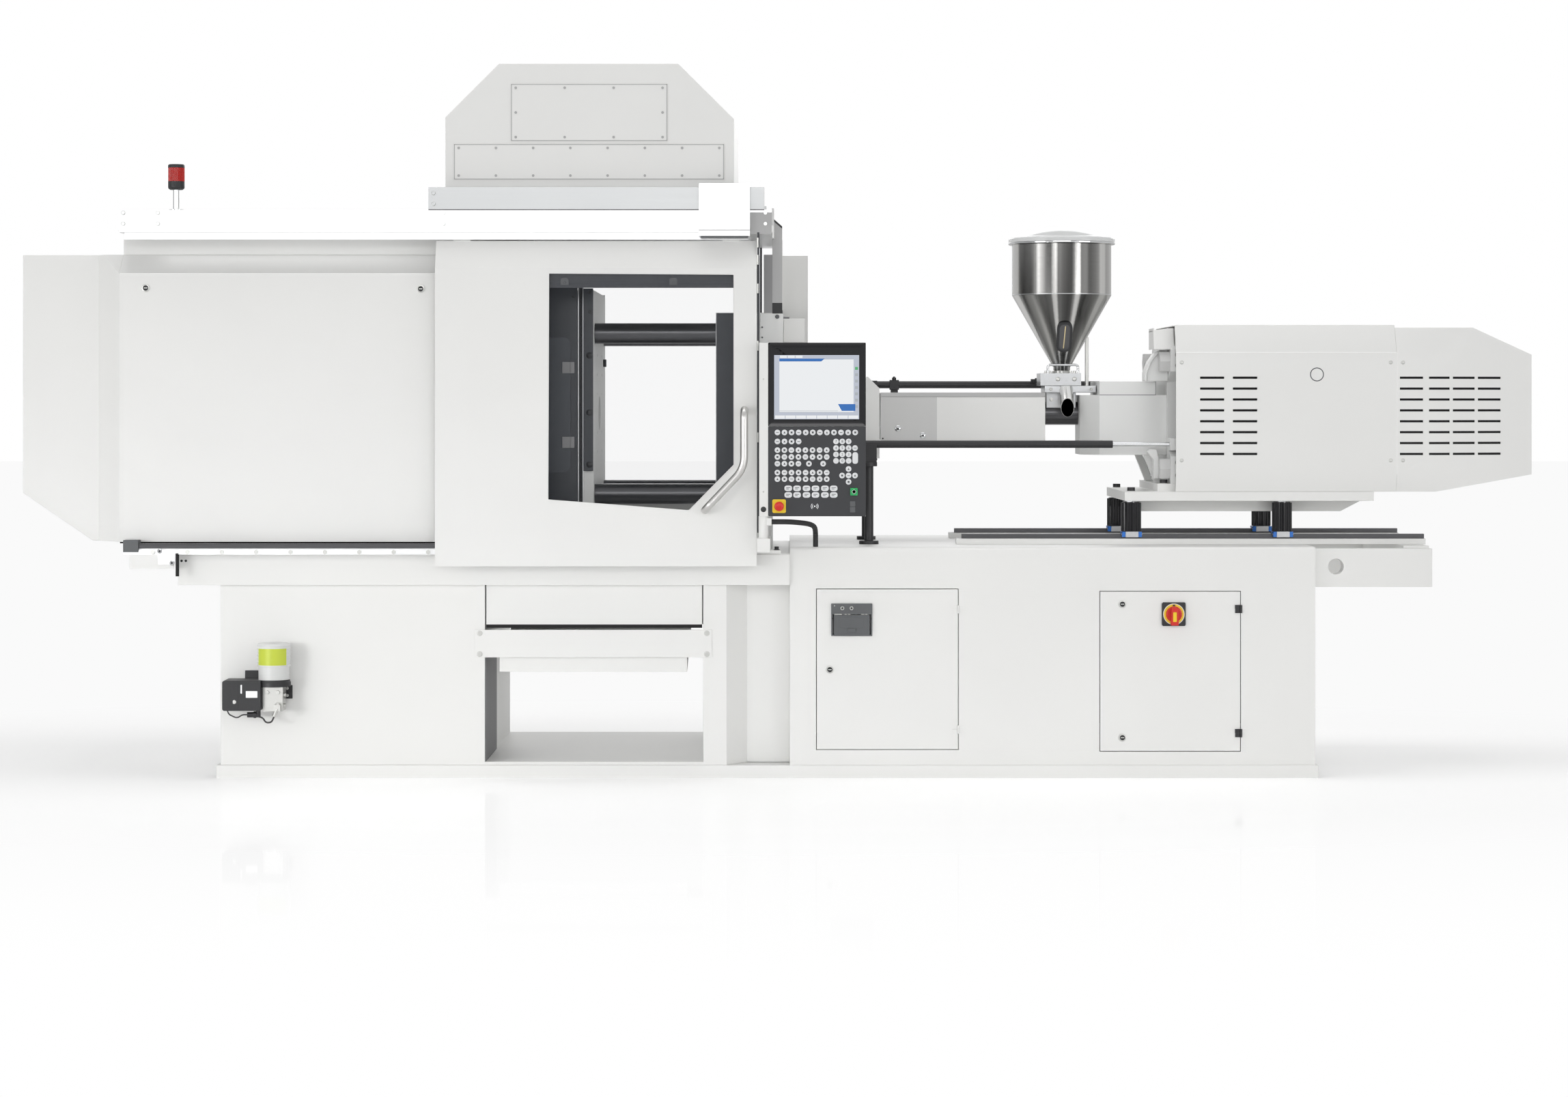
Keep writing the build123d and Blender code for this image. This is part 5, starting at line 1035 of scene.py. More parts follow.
class MOULDING_OT_lubricator(Step, Operator):
    """Makes the lubricator: motor housing, pump head, ribbed grease bowl, lines and bracket"""

    bl_idname = "moulding.lubricator"
    bl_label = "Lubricator"

    bowl_foot = (-1538, -595, 0)
    motor_face = -649.4

    def execute(self, context):
        self.motor()
        self.pump()
        self.bowl()
        return {"FINISHED"}

    def motor(self):
        """The motor housing of the lubricator, its bracket, gland and bare plates."""
        bm = bmesh.new()
        outline = rounded([(-1709.6, 246.4), (-1575.4, 246.4), (-1575.4, 351.6), (-1709.6, 351.6)], 9)
        front_plate(bm, outline, self.motor_face, -545.4)
        raised = rounded([(-1700, 255), (-1681, 255), (-1681, 343), (-1700, 343)], 5)
        front_plate(bm, raised, -649.9, -648)
        for x in (-1673.5, -1656.0):
            slab(bm, (x - 1.8, -650.0, 249), (x + 1.8, -648, 349))
        piece("motor housing", bm, "black plastic", "frame", ("lubricator_pump",), edge=2.2, segments=3)
        slabs("pump bracket", "black coat", "frame", 0.8, ((-1575.6, -640, 259), (-1571.5, -552, 339)),
              ((-1650, -527, 278.5), (-1484, -519.6, 325.5)), ((-1650, -527, 325.5), (-1600, -519.6, 377.5)),
              ((-1646, -546, 282), (-1606, -526.5, 322)), ((-1550, -546, 284), (-1526, -526.5, 320)))
        single("motor gland", "black plastic", "frame", 0.6, turned,
               [(0.0, 17.0), (15.6, 17.0), (17.4, 14.0), (17.4, 5.0), (14.0, 4.0), (14.0, 0.0)],
               (-1699, -600, 262), UP, 32)
        single("motor screw", "zinc", "frame", 0, turned, [(0.0, 0.6), (4.2, 0.6), (6.6, 0.3), (6.6, 0.0)],
               (-1667.5, self.motor_face, 277.5), FRONT, 24)
        bm = bmesh.new()
        front_plate(bm, oblong(-1643.0, 322, 5, 30, 1), -649.9, -649.2)
        front_plate(bm, oblong(-1607.0, 304, 40, 23, 1), -649.9, -649.2)
        piece("bare plates", bm, "aluminium", "frame", edge=0)

    def pump(self):
        """The pump body, the bowl's ribbed collar, the fittings and the lines."""
        bm = bmesh.new()
        outline = rounded([(-1572.6, 242.6), (-1502.4, 242.6), (-1502.4, 327.6), (-1572.6, 327.6)], 3)
        front_plate(bm, outline, -624.6, -545.4)
        for z in (262, 300):
            rod(bm, (-1503, -604, z), (-1494.5, -604, z), 7.0, 6)
        for x in (-1556, -1519):
            rod(bm, (x, -625, 309), (x, -631, 309), 7.6, 6)
        piece("pump body", bm, "zinc", "frame", edge=1.2)
        bm = bmesh.new()
        turned(bm, [(0.0, 328.4), (58.2, 328.4), (58.2, 344.0), (56.4, 346.0), (56.4, 349.6), (0.0, 349.6)],
               self.bowl_foot, UP, 72)
        for k in range(40):
            turn = 2 * pi * k / 40
            rib = bmesh.ops.create_cube(bm, size=1)["verts"]
            moved(rib, bm, Matrix.Translation((-1538, -595, 337)) @ Matrix.Rotation(turn, 4, "Z")
                  @ Matrix.Translation((57.8, 0, 0)) @ Matrix.Diagonal((1.2, 4.2, 14, 1)))
        piece("bowl collar", bm, "black plastic", "frame", edge=0)
        bm = bmesh.new()
        slab(bm, (-1530, -647.6, 245.4), (-1508, -624.6, 267.6))
        rod(bm, (-1530.8, -635.8, 227), (-1519.6, -639.8, 252.6), 8.0, 24)
        rod(bm, (-1522.4, -638.7, 246.0), (-1519.0, -640.0, 254.0), 10.6, 6)
        rod(bm, (-1519, -640, 267), (-1519, -640, 274), 7.4, 6)
        piece("pump fitting", bm, "zinc", "frame", edge=0.6)
        bm = bmesh.new()
        for z in (290, 315):
            hexagon(bm, (-1501, -527, z), 9.5, 6.5)
        piece("bracket bolts", bm, "zinc", "frame", edge=0.5)
        bm = bmesh.new()
        rod(bm, (-1628, -612, 230), (-1591, -612, 230), 9.4, 32)
        rod(bm, (-1606, -612, 230), (-1597, -612, 230), 12.0, 6)
        rod(bm, (-1590, -612, 222), (-1590, -612, 247), 8.5, 24)
        piece("motor connector", bm, "black plastic", "frame", edge=0.6)
        dress("lubricator_lines", "clear black", 0.0)

    def bowl(self):
        """The ribbed grease bowl and its bare label, which wraps its front."""
        middle = self.bowl_foot
        profile = [(0.0, 350.3), (46.0, 350.3), (53.2, 352.0), (53.2, 397.6), (57.6, 399.0)]
        for rib in range(6):
            z = 401.0 + rib * 11.6
            profile += [(58.2, z), (58.2, z + 4.0), (56.8, z + 5.2), (56.8, z + 10.4)]
        profile += [(58.0, 472.0), (55.0, 477.6), (30.0, 478.8), (0.0, 478.8)]
        bm = bmesh.new()
        turned(bm, profile, middle, UP, 72)
        piece("grease bowl", bm, "frosted", "frame", ("lubricator_reservoir",), edge=0)
        bm = bmesh.new()
        turned(bm, [(58.3, 404.0), (58.45, 404.5), (58.45, 461.5), (58.3, 462.0)], middle, UP, 96)
        behind = [face for face in bm.faces if face.calc_center_median().y > -626]
        bmesh.ops.delete(bm, geom=behind, context="FACES")
        piece("bare label", bm, "label green", "frame", edge=0)


class MOULDING_OT_injection(Step, Operator):
    """Adds the bearing blocks, spacers, screws, tube ends, guards and cover fittings"""

    bl_idname = "moulding.injection"
    bl_label = "Injection unit fittings"

    bearings = (1490, 2032)
    rail_y = 258
    cover_face = -340.2

    def execute(self, context):
        self.blocks()
        self.spacers()
        self.tube_ends()
        self.guards()
        self.covers()
        self.casting()
        self.rail_plugs()
        return {"FINISHED"}

    def blocks(self):
        """Linear bearings: steel bodies with blue end caps and grease nipples."""
        steel, caps, nipples = bmesh.new(), bmesh.new(), bmesh.new()
        for x in self.bearings:
            for side in (-1, 1):
                middle = side * self.rail_y
                for near, far in ((-34.7, -12), (12, 34.7)):
                    slab(steel, (x - 23, middle + near, 835.5), (x + 23, middle + far, 855.6))
                slab(steel, (x - 23, middle - 34.7, 848), (x + 23, middle + 34.7, 855.6))
                for end in (-1, 1):
                    x0, x1 = sorted((x + end * 23.3, x + end * 35.5))
                    for near, far in ((-34.3, -12), (12, 34.3)):
                        slab(caps, (x0, middle + near, 836), (x1, middle + far, 855))
                    slab(caps, (x0, middle - 34.3, 848), (x1, middle + 34.3, 855))
                    rod(nipples, (x + end * 35, middle - 26, 846), (x + end * 37.5, middle - 26, 846), 2.6,
                        12)
        piece("bearing bodies", steel, "machined steel", "injection_unit", ("carriage_blocks",), edge=0.8)
        piece("bearing caps", caps, "blue", "injection_unit", edge=1.0)
        piece("bearing nipples", nipples, "zinc", "injection_unit", edge=0)

    def spacers(self):
        """Fluted black posts that hold the carriage over its bearings."""
        bm = bmesh.new()
        section = []
        flutes = 12
        for k in range(flutes):
            for share, radius in ((0.0, 36.3), (0.30, 36.3), (0.42, 31.5), (0.88, 31.5)):
                turn = 2 * pi * (k + share) / flutes
                section.append((radius * cos(turn), radius * sin(turn)))
        for x in self.bearings:
            for y in (-self.rail_y, self.rail_y):
                extruded(bm, [(x + a, y + b, 856.3) for a, b in section], (0, 0, 103.0))
                turned(bm, [(0.0, 958), (30.5, 958), (30.5, 962.0), (0.0, 962.0)], (x, y, 0), UP, 36)
        piece("fluted spacers", bm, "gloss black", "injection_unit", edge=0.5)
        bm = bmesh.new()
        for x in self.bearings:
            for y in (-self.rail_y, self.rail_y):
                hexagon(bm, (x, y, 960), 30.0, 6.9, UP)
                turned(bm, [(0.0, 959.2), (26.0, 959.2), (27.0, 960.0), (27.0, 961.6), (0.0, 961.6)],
                       (x, y, 1.5), UP, 36)
        piece("spacer washers", bm, "chrome", "injection_unit", edge=0.5)

    def tube_ends(self):
        """Collars, nipple and clamps of the nozzle drive tubes."""
        bm = bmesh.new()
        for y, z in ((-246, 1168.5), (226, 1385)):
            turned(bm, [(9.5, 0.0), (13.2, 0.0), (13.45, 1.0), (13.45, 26), (13.0, 27), (9.5, 27)],
                   (1396, y, z), (1, 0, 0), 40)
        piece("tube collars", bm, "black plastic", "frame", edge=0)
        bm = bmesh.new()
        rod(bm, (1388, -259.2, 1168.5), (1388, -261.4, 1168.5), 4.2, 12)
        rod(bm, (1384, -250, 1181.0), (1384, -250, 1184), 5.0, 6)
        piece("tube nipple", bm, "zinc", "frame", edge=0.3)
        bm = bmesh.new()
        slab(bm, (637, 209, 1366), (672, 243, 1403))
        rod(bm, (654, 226, 1403), (654, 226, 1412), 9.0, 6)
        rod(bm, (654, 226, 1412), (654, 226, 1416), 4.0, 16)
        slab(bm, (641, 214, 1352), (668, 238, 1366))
        rod(bm, (1164, 208, 1398), (1180, 208, 1398), 8.5, 20)
        rod(bm, (1180, 208, 1398), (1198, 208, 1398), 11.5, 6)
        rod(bm, (1186, 208, 1398), (1186, 208, 1410), 6.5, 20)
        piece("rear tube clamp", bm, "black plastic", "frame", edge=1.2)
        bm = bmesh.new()
        for x0, x1 in ((521, 533), (562, 574)):
            slab(bm, (x0, -266.2, 1106), (x1, -226.0, 1182.5))
        for z in (1120, 1144):
            socket_screw(bm, (547, -266, z), 12.0, 6.0)
        piece("stand clamps", bm, "zinc", "frame", edge=0.8)

    def guards(self):
        """The barrel guard's darker end sheet with its screws."""
        single("guard end sheet", "guard grey", "injection_unit", 0.4, front_plate,
               [(593, 1180.6), (797, 1180.6), (797, 1338), (593, 1338)], -151.0, -149)
        bm = bmesh.new()
        for x, z in ((656, 1224), (746, 1199)):
            turned(bm, [(0.0, 4.0), (6.0, 4.0), (10.0, 2.2), (11.4, 0.6), (11.4, 0.0)], (x, -151, z), FRONT,
                   28)
        piece("barrel guard screws", bm, "chrome", "injection_unit", edge=0)
        bm = bmesh.new()
        for x, z in ((656, 1224), (746, 1199)):
            hexagon(bm, (x, -155.1, z), 7.0, 0.8)
        turned(bm, [(0.0, 0.8), (3.0, 0.8), (3.0, 0.0)], (601, -151, 1188), FRONT, 16)
        piece("barrel guard sockets", bm, "black plastic", "injection_unit", edge=0)
        single("guard fold", "seam pale", "injection_unit", 0, extruded,
               [(593, -150.8, 1338.5), (593, -150.8, 1342), (593, -135.2, 1355), (593, -134.5, 1352)],
               (597, 0, 0))

    def liners(self):
        """Black sheets behind the covers' slots: painted shade for the dark inside of the covers."""
        bm = bmesh.new()
        for side in (-1, 1):
            near, far = sorted((side * 328.0, side * 331.0))
            slab(bm, (1700, near, 1090), (1960, far, 1440))
            bend, end = 2568.0, 2910.0
            drop = (235.0 - 340.0) * (end - bend) / 367.0
            plan = [(2434, side * 332.0), (bend, side * 332.0), (end, side * (332.0 + drop)),
                    (end, side * (328.0 + drop)), (bend, side * 328.0), (2434, side * 328.0)]
            extruded(bm, [(x, y, 1090) for x, y in plan], (0, 0, 350))
        piece("cover liners", bm, "liner black", "injection_unit", edge=0)

    def covers(self):
        """Screws and the blanked hole of the injection covers."""
        self.liners()
        # Pale rods along the main cover's top fold and corner are painted highlights
        bm = bmesh.new()
        rod(bm, (1643, -339.9, 1497), (2429, -339.9, 1497), 1.5, 10)
        rod(bm, (2430.5, -339.5, 1062), (2430.5, -339.5, 1497), 1.2, 10)
        piece("main cover folds", bm, "white edge", "injection_unit", edge=0)
        bm = bmesh.new()
        for x, z in ((1662, 1112), (2408, 1112), (1662, 1462), (2408, 1462), (2452, 1112), (2452, 1462)):
            turned(bm, [(0.0, 2.6), (4.0, 2.3), (6.4, 1.0), (7.0, 0.0)], (x, self.cover_face, z), FRONT, 20)
        piece("cover screws", bm, "zinc", "injection_unit", edge=0)
        single("blanked hole", "grey plastic", "injection_unit", 0, turned,
               [(21.4, 0.0), (23.0, 0.5), (24.4, 0.5), (24.9, 0.0)], (2145, self.cover_face, 1419), FRONT, 56)

    def casting(self):
        """Bolts of the throat and the front plate."""
        bm = bmesh.new()
        hexagon(bm, (1221, -45, 1330), 12.0, 7.0)
        for x, z in ((1362, 1367), (1215, 1367)):
            socket_screw(bm, (x, -90, z), 11.0, 5.0)
        piece("throat bolts", bm, "zinc", "injection_unit", edge=0.5)
        bm = bmesh.new()
        for z in (1058, 1104, 1452, 1490):
            socket_screw(bm, (1650, -300.2, z), 15.0, 1.4)
        piece("plate screws", bm, "zinc", "injection_unit", edge=0.4)
        self.frame_front()

    def frame_front(self):
        """The cap over the upper nut, the cast arms behind it, the drain's inside and the tray's edge."""
        bm = bmesh.new()
        x0, x1, z0, z1 = 1569.0, 1641.4, 1510.0, 1586.4
        end = [(-292, z0), (-258, z1), (-120, z1), (-120, z0)]
        extruded(bm, [(x0, y, z) for y, z in end], (4, 0, 0))
        extruded(bm, [(x0, -292, z0), (x1, -292, z0), (x1, -258, z1), (x0, -264, z1 - 8)], (0, 5, 0))
        extruded(bm, [(x0, -262, z1 - 9), (x1, -256, z1 - 1), (x1, -120, z1 - 1), (x0, -120, z1 - 9)],
                 (0, 0, -4))
        piece("nut cap", bm, "white coat", "injection_unit", edge=1.2)
        bm = bmesh.new()
        arm = [(1541, 1396), (1626.5, 1396), (1626.5, 1508), (1593, 1508), (1576, 1495), (1556, 1466),
               (1541, 1427)]
        extruded(bm, [(x, -228, z) for x, z in arm], (0, 78, 0))
        rim = [(1541, 1396), (1541, 1427), (1556, 1466), (1576, 1495), (1593, 1508), (1600, 1502),
               (1584, 1489), (1565, 1462), (1550, 1424), (1550, 1396)]
        extruded(bm, [(x, -236, z) for x, z in rim], (0, 10, 0))
        low_arm = [(1560, 1150), (1585, 1150), (1592, 1120), (1592, 1044), (1575, 1044), (1575, 1110),
                   (1552, 1140)]
        extruded(bm, [(x, -232, z) for x, z in low_arm], (0, 50, 0))
        piece("cast arms", bm, "casting paint", "injection_unit", edge=3.0, segments=3)
        bm = bmesh.new()
        mouth = [(1271 + 22.2 * cos(turn), 1317 + 31.0 * sin(turn))
                 for turn in (2 * pi * k / 40 for k in range(40))]
        front_plate(bm, mouth, -134, -132)
        piece("drain inside", bm, "seam pale", "injection_unit", edge=0)
        slabs("tray edge", "seam grey", "injection_unit", 0,
              ((1384.2, -180.4, 1345.0), (1587.4, -179.4, 1347.2)),
              ((1586.4, -180.4, 1345.0), (1588.0, -179.0, 1395.0)))

    def rail_plugs(self):
        """Round plugs over the screws of both rails."""
        bm = bmesh.new()
        for k in range(9):
            for y in (-self.rail_y, self.rail_y):
                turned(bm, [(0.0, 0.9), (6.0, 0.9), (6.0, 0.0)], (1172 + 110 * k, y, 846.6), UP, 20)
        piece("rail plugs", bm, "machined steel", "frame", edge=0)


class MOULDING_OT_hopper(Step, Operator):
    """Makes the spun hopper, its clear lid, the sight glass, the slide block and the handle"""

    bl_idname = "moulding.hopper"
    bl_label = "Hopper"

    x = 1262.0

    def execute(self, context):
        self.shell()
        self.sight()
        self.block()
        self.lid()
        return {"FINISHED"}

    def shell(self):
        """Straight wall, cone and rolled rim, spun in one sheet with an inside."""
        profile = [(28.0, 1427.0), (30.9, 1427.0), (30.9, 1447.5), (181.0, 1710.2), (181.4, 1711.4),
                   (181.4, 1895.5), (185.0, 1897.0), (194.0, 1897.4), (194.8, 1899.0), (194.8, 1903.4),
                   (194.0, 1904.7), (179.2, 1904.7), (178.6, 1902.0), (178.6, 1712.2), (28.2, 1448.6),
                   (28.0, 1427.0)]
        bm = bmesh.new()
        turned(bm, profile, (self.x, 0, 0), UP, 128)
        for near, far in ((-31.6, -12.6), (12.6, 31.6)):
            rod(bm, (self.x + near, 200, 1905), (self.x + far, 200, 1905), 4.0, 20)
            slab(bm, (self.x + near, 187.5, 1897.4), (self.x + far, 200, 1901.8))
        # The shell's finish paints its reflection bands into its colour
        piece("hopper shell", bm, "spun steel", "hopper", ("hopper_body",), edge=0)
        bm = bmesh.new()
        turned(bm, [(181.2, 1712.0), (182.0, 1712.6), (182.0, 1714.2), (181.2, 1714.8)], (self.x, 0, 0), UP,
               96)
        slab(bm, (self.x - 182.2, -1.4, 1714), (self.x - 180.6, 1.4, 1896))
        piece("hopper seams", bm, "machined steel", "hopper", edge=0)
        single("hopper rim", "chrome", "hopper", 0.8, turned,
               [(179.5, 1898.4), (195.0, 1898.4), (195.0, 1904.2), (179.5, 1904.2), (179.5, 1898.4)],
               (self.x, 0, 0), UP, 96)

    def sight(self):
        """The sight glass: a rubber frame round a dark pane, tilted with the cone."""
        slope = (181.5 - 31) / (1711 - 1448)
        height = 1560.0
        radius = 31 + slope * (height - 1448)
        tilt = Matrix.Translation((self.x + 2, -radius, height)) @ Matrix.Rotation(atan(slope), 4, "X")
        for name, width, tall, low, high, finish_name in (
                ("sight frame", 56, 124, -1.0, 7.5, "gasket"),
                ("sight pane", 38, 106, 0.0, 7.9, "sight glass"),
                ("sight strip", 4, 92, 7.6, 8.2, "pellets")):
            bm = bmesh.new()
            front_plate(bm, oblong(0, 0, width, tall, width / 2 - 0.1), -high, -low)
            if name == "sight strip":
                moved(bm.verts[:], bm, Matrix.Rotation(radians(2.5), 4, "Y"))
            moved(bm.verts[:], bm, tilt)
            piece(name, bm, finish_name, "hopper", edge=1.2 if name == "sight frame" else 0.3)

    def block(self):
        """The slide block with its screws, fittings and bent pull handle."""
        x0, x1, half = 1177.3, 1325.7, 89.7
        slabs("slide block", "machined steel", "hopper", 1.6, ((x0, -half, 1380.6), (x1, half, 1425.7)),
              ((x0 + 26, -half - 0.2, 1384), (x0 + 27, -half + 1, 1425)))
        bm = bmesh.new()
        for x in (1241, 1301):
            turned(bm, [(0.0, 1.6), (2.4, 3.0), (5.6, 2.6), (7.4, 1.2), (8.2, 0.0)], (x, -half, 1404), FRONT,
                   24)
        piece("block screws", bm, "zinc", "hopper", edge=0)
        bm = bmesh.new()
        for x in (1199, 1213, 1243, 1257, 1289, 1303):
            turned(bm, [(0.0, 9.0), (4.6, 9.0), (5.2, 7.0), (5.2, 2.0), (8.0, 1.6), (8.0, 0.0)],
                   (x, -66, 1425.6), UP, 20)
        turned(bm, [(0.0, 12.0), (30.5, 12.0), (36.0, 9.0), (38.0, 0.0)], (self.x, 0, 1425.6), UP, 48)
        piece("block studs", bm, "zinc", "hopper", edge=0)
        points = ((1205, -80, 1425.8), (1205, -80, 1456), (1315, -80, 1456), (1315, -80, 1425.8))
        tube("pull handle", points, 4.5, "chrome", "hopper", bend=10.0, resolution=6)

    def lid(self):
        """The clear lid: a shallow dome with a turned edge that covers the rim."""
        crown = 451.0
        dome = [(radius, 1917.5 + (crown ** 2 - radius ** 2) ** 0.5 - 409.0) for radius in range(0, 181, 15)]
        profile = dome + [(190.0, 1922.0), (194.6, 1917.0), (194.6, 1905.6), (192.6, 1905.6), (192.0, 1915.5),
                          (188.6, 1920.2)] + [(radius, z - 2.0) for radius, z in reversed(dome)]
        bm = bmesh.new()
        turned(bm, profile, (self.x, 0, 0), UP, 96)
        piece("lid dome", bm, "lid clear", "lid", ("hopper_lid",), edge=0)
        bm = bmesh.new()
        rod(bm, (self.x - 11.7, 200, 1905), (self.x + 11.7, 200, 1905), 4.0, 20)
        slab(bm, (self.x - 11.7, 188, 1905.8), (self.x + 11.7, 200, 1908.8))
        piece("lid hinge", bm, "chrome", "lid", edge=0)


class MOULDING_OT_panel(Step, Operator):
    """Makes the control panel's bezel, screen, keypad and controls"""

    bl_idname = "moulding.panel"
    bl_label = "Control panel"

    face = -700.0
    columns = (188.0, 526.0)
    stop = (226.2, 960.1)
    start = (485.1, 1010.2)

    def execute(self, context):
        dress("panel_housing", "white coat", 1.5)
        self.plates()
        self.screen()
        self.keys()
        self.group_lines()
        self.controls()
        self.arm_bolts()
        return {"FINISHED"}

    def plates(self):
        """The bezel with its sunk field, the keypad and the side's plug and screws."""
        left, right = self.columns
        bm = bmesh.new()
        outer = rounded([(left, 1237), (right, 1237), (right, 1526), (left, 1526)], [0.1, 0.1, 5, 5])
        front_plate(bm, outer, self.face, self.face + 6)
        face = max(bm.faces, key=lambda face: -face.calc_center_median().y)
        bmesh.ops.inset_region(bm, faces=[face], thickness=19.5)
        bmesh.ops.translate(bm, vec=(0, 2.2, 0), verts=face.verts)
        piece("panel bezel", bm, "gloss black", "panel", ("panel_face",), edge=0.7)
        single("panel keypad", "keypad", "panel", 0.7, front_plate,
               rounded([(left, 925), (right, 925), (right, 1236), (left, 1236)], [5, 5, 0.1, 0.1]), self.face
               + 0.4, self.face + 6)
        single("panel side plug", "black plastic", "panel", 0, turned,
               [(0.0, 1.6), (8.0, 1.6), (9.6, 0.6), (9.6, 0.0)], (172, self.face, 949), FRONT, 28)
        bm = bmesh.new()
        for z in (1010, 1400):
            turned(bm, [(0.0, 1.2), (2.2, 1.2), (3.0, 0.4), (3.0, 0.0)], (172, self.face, z), FRONT, 20)
        piece("panel side screws", bm, "zinc", "panel", edge=0)

    def screen(self):
        """A bare page: a title banner, a foot banner, a column of small marks and soft keys."""
        y = self.face + 1.7
        page = {"screen pale": [((209, 1261), (503, 1483))],
                "screen white": [((227, 1286), (484, 1468)),
                                 *(((229 + 27 * k, 1473), (253 + 27 * k, 1481)) for k in range(3)),
                                 *(((212 + 36.3 * k, 1263), (246 + 36.3 * k, 1274)) for k in range(8))],
                                 "screen grey": [((227, 1284.4), (430, 1285.6)),
                                                 ((227, 1289.4), (430, 1290.6)),
                                                 *(((489, 1300 + 22 * k), (499, 1310 + 22 * k))
                                                   for k in range(6))],
                                                   "screen green": [((489, 1432), (499, 1442))]}
        for index, (name, boxes) in enumerate(page.items()):
            lift = 0.12 * index
            bm = bmesh.new()
            for (x0, z0), (x1, z1) in boxes:
                slab(bm, (x0, y - lift, z0), (x1, y - lift + 0.5, z1))
            piece(f"screen layer {index}", bm, name, "panel", edge=0)
        bm = bmesh.new()
        front_plate(bm, [(227, 1461), (372, 1461), (384, 1471), (227, 1471)], y - 0.48, y)
        front_plate(bm, [(443, 1290), (490, 1290), (490, 1313.5), (430, 1313.5)], y - 0.48, y)
        piece("screen banners", bm, "screen blue", "panel", edge=0)

    def key_places(self):
        """Round keys as (x, z) pairs, row by row."""
        step = 24.46
        spots = [(220.3 + step * k, 1215.3) for k in range(12)]
        spots += [(220.3 + step * k, 1184.1) for k in range(4)]
        spots += [(220.3 + 24.2 * k, z) for z in (1154.1, 1130.5, 1107.1) for k in range(4)]
        for left in (317.1, 366.2):
            spots += [(left + shift, z) for z in (1154.1, 1130.5) for shift in (0, 24.6)]
            spots += [(left + 12.2, 1107.1)]
        spots += [(220.3 + 24.36 * k, z) for z in (1076.4, 1053.9) for k in range(8)]
        spots += self.number_places() + [(488.7, 1161.4)]
        spots += [(466.4, 1088.9), (444.0, 1066.2), (466.4, 1066.2), (488.7, 1066.2), (466.4, 1044.2)]
        return spots

    def number_places(self):
        """The twelve keys of the number block."""
        return [(x, z) for z in (1184.1, 1161.4, 1139.0, 1117.0) for x in (423.0, 444.7, 466.7)]

    def keys(self):
        """Round and oval keys with plain marks, and the keys with numbers."""
        radius = sizes().key / MM / 2
        y = self.face + 0.4
        bm = bmesh.new()
        for x, z in self.key_places():
            turned(bm, [(0.0, 2.6), (radius * 0.55, 2.4), (radius * 0.85, 1.9), (radius, 0.7), (radius, 0.0)],
                   (x, y, z), FRONT, 20)
        piece("round keys", bm, "key white", "panel", edge=0)
        bm = bmesh.new()
        ovals = [(x, z, 26.5, 19.6) for x in (257.8, 288.3, 320.9, 351.9, 384.5, 414.9)
                 for z in (1022.0, 999.1)]
        for x, z, width, height in ovals + [(489.4, 1126.8, 19.6, 40.4)]:
            front_plate(bm, oblong(x, z, width, height), y - 2.4, y)
        piece("oval keys", bm, "key white", "panel", edge=1.2, segments=3)
        bm = bmesh.new()
        for index, (x, z) in enumerate(self.key_places()):
            if (x, z) in self.number_places():
                continue
            if index % 3 == 0:
                slab(bm, (x - 4.5, y - 2.9, z - 0.9), (x + 4.5, y - 2.4, z + 0.9))
            elif index % 3 == 1:
                front_plate(bm, [(x - 3.6, z - 3.2), (x + 3.6, z - 3.2), (x, z + 3.8)], y - 2.9, y - 2.4)
            else:
                slab(bm, (x - 3.2, y - 2.9, z - 3.2), (x + 3.2, y - 2.4, z + 3.2))
        for x, z, width, height in ovals:
            slab(bm, (x - 7, y - 2.8, z - 3.0), (x + 2, y - 2.3, z - 1.2))
            slab(bm, (x - 7, y - 2.8, z + 1.2), (x + 7, y - 2.3, z + 3.0))
        piece("key marks", bm, "key mark", "panel", edge=0)
        labels = "789456123.0-"
        for label, (x, z) in zip(labels, self.number_places()):
            self.text("key number " + {".": "point", "-": "minus"}.get(label, label), label, x, y - 2.6, z,
                      12.0)

    def text(self, name, words, x, y, z, height):
        """A number on a key, made a thin mesh."""
        letters = bpy.data.curves.new(name, "FONT")
        letters.body = words
        letters.size = height
        letters.extrude = 0.15
        letters.align_x = "CENTER"
        letters.align_y = "CENTER"
        holder = bpy.data.objects.new(name, letters)
        mesh = bpy.data.meshes.new_from_object(holder)
        bpy.data.objects.remove(holder)
        mesh.transform(Matrix.Translation((x, y, z)) @ Matrix.Rotation(pi / 2, 4, "X"))
        mesh.transform(Matrix.Scale(MM, 4))
        mesh.materials.clear()
        placed(name, mesh, "key mark", "panel")

    def group_lines(self):
        """Thin pale outlines printed round the groups of keys."""
        y = self.face + 0.4
        groups = [(354.8, 1215.3, 294, 26), (257.0, 1184.1, 98, 26), (256.6, 1130.6, 98, 74),
                  (329.4, 1130.6, 46, 74), (378.5, 1130.6, 46, 74), (305.5, 1065.2, 196, 50),
                  (444.9, 1150.6, 70, 94), (489.2, 1138.0, 24, 70), (272.9, 1010.5, 60, 48),
                  (336.4, 1010.5, 62, 48), (399.7, 1010.5, 62, 48)]
        bm = bmesh.new()
        for x, z, width, height in groups:
            ring(bm, oblong(x, z, width, height, 12.0), y - 0.15, 0.9, 0.25)
        piece("key group lines", bm, "print white", "panel", edge=0)

    def arm_bolts(self):
        """Black bolts that hold the arm's foot on the bed, each on its washer."""
        bm = bmesh.new()
        for x in (135, 217):
            rod(bm, (x, -518, 799.6), (x, -518, 802.4), 11.0, 24)
            rod(bm, (x, -518, 802.4), (x, -518, 812.5), 8.7, 6)
        piece("arm bolts", bm, "black coat", "frame", edge=0.5)

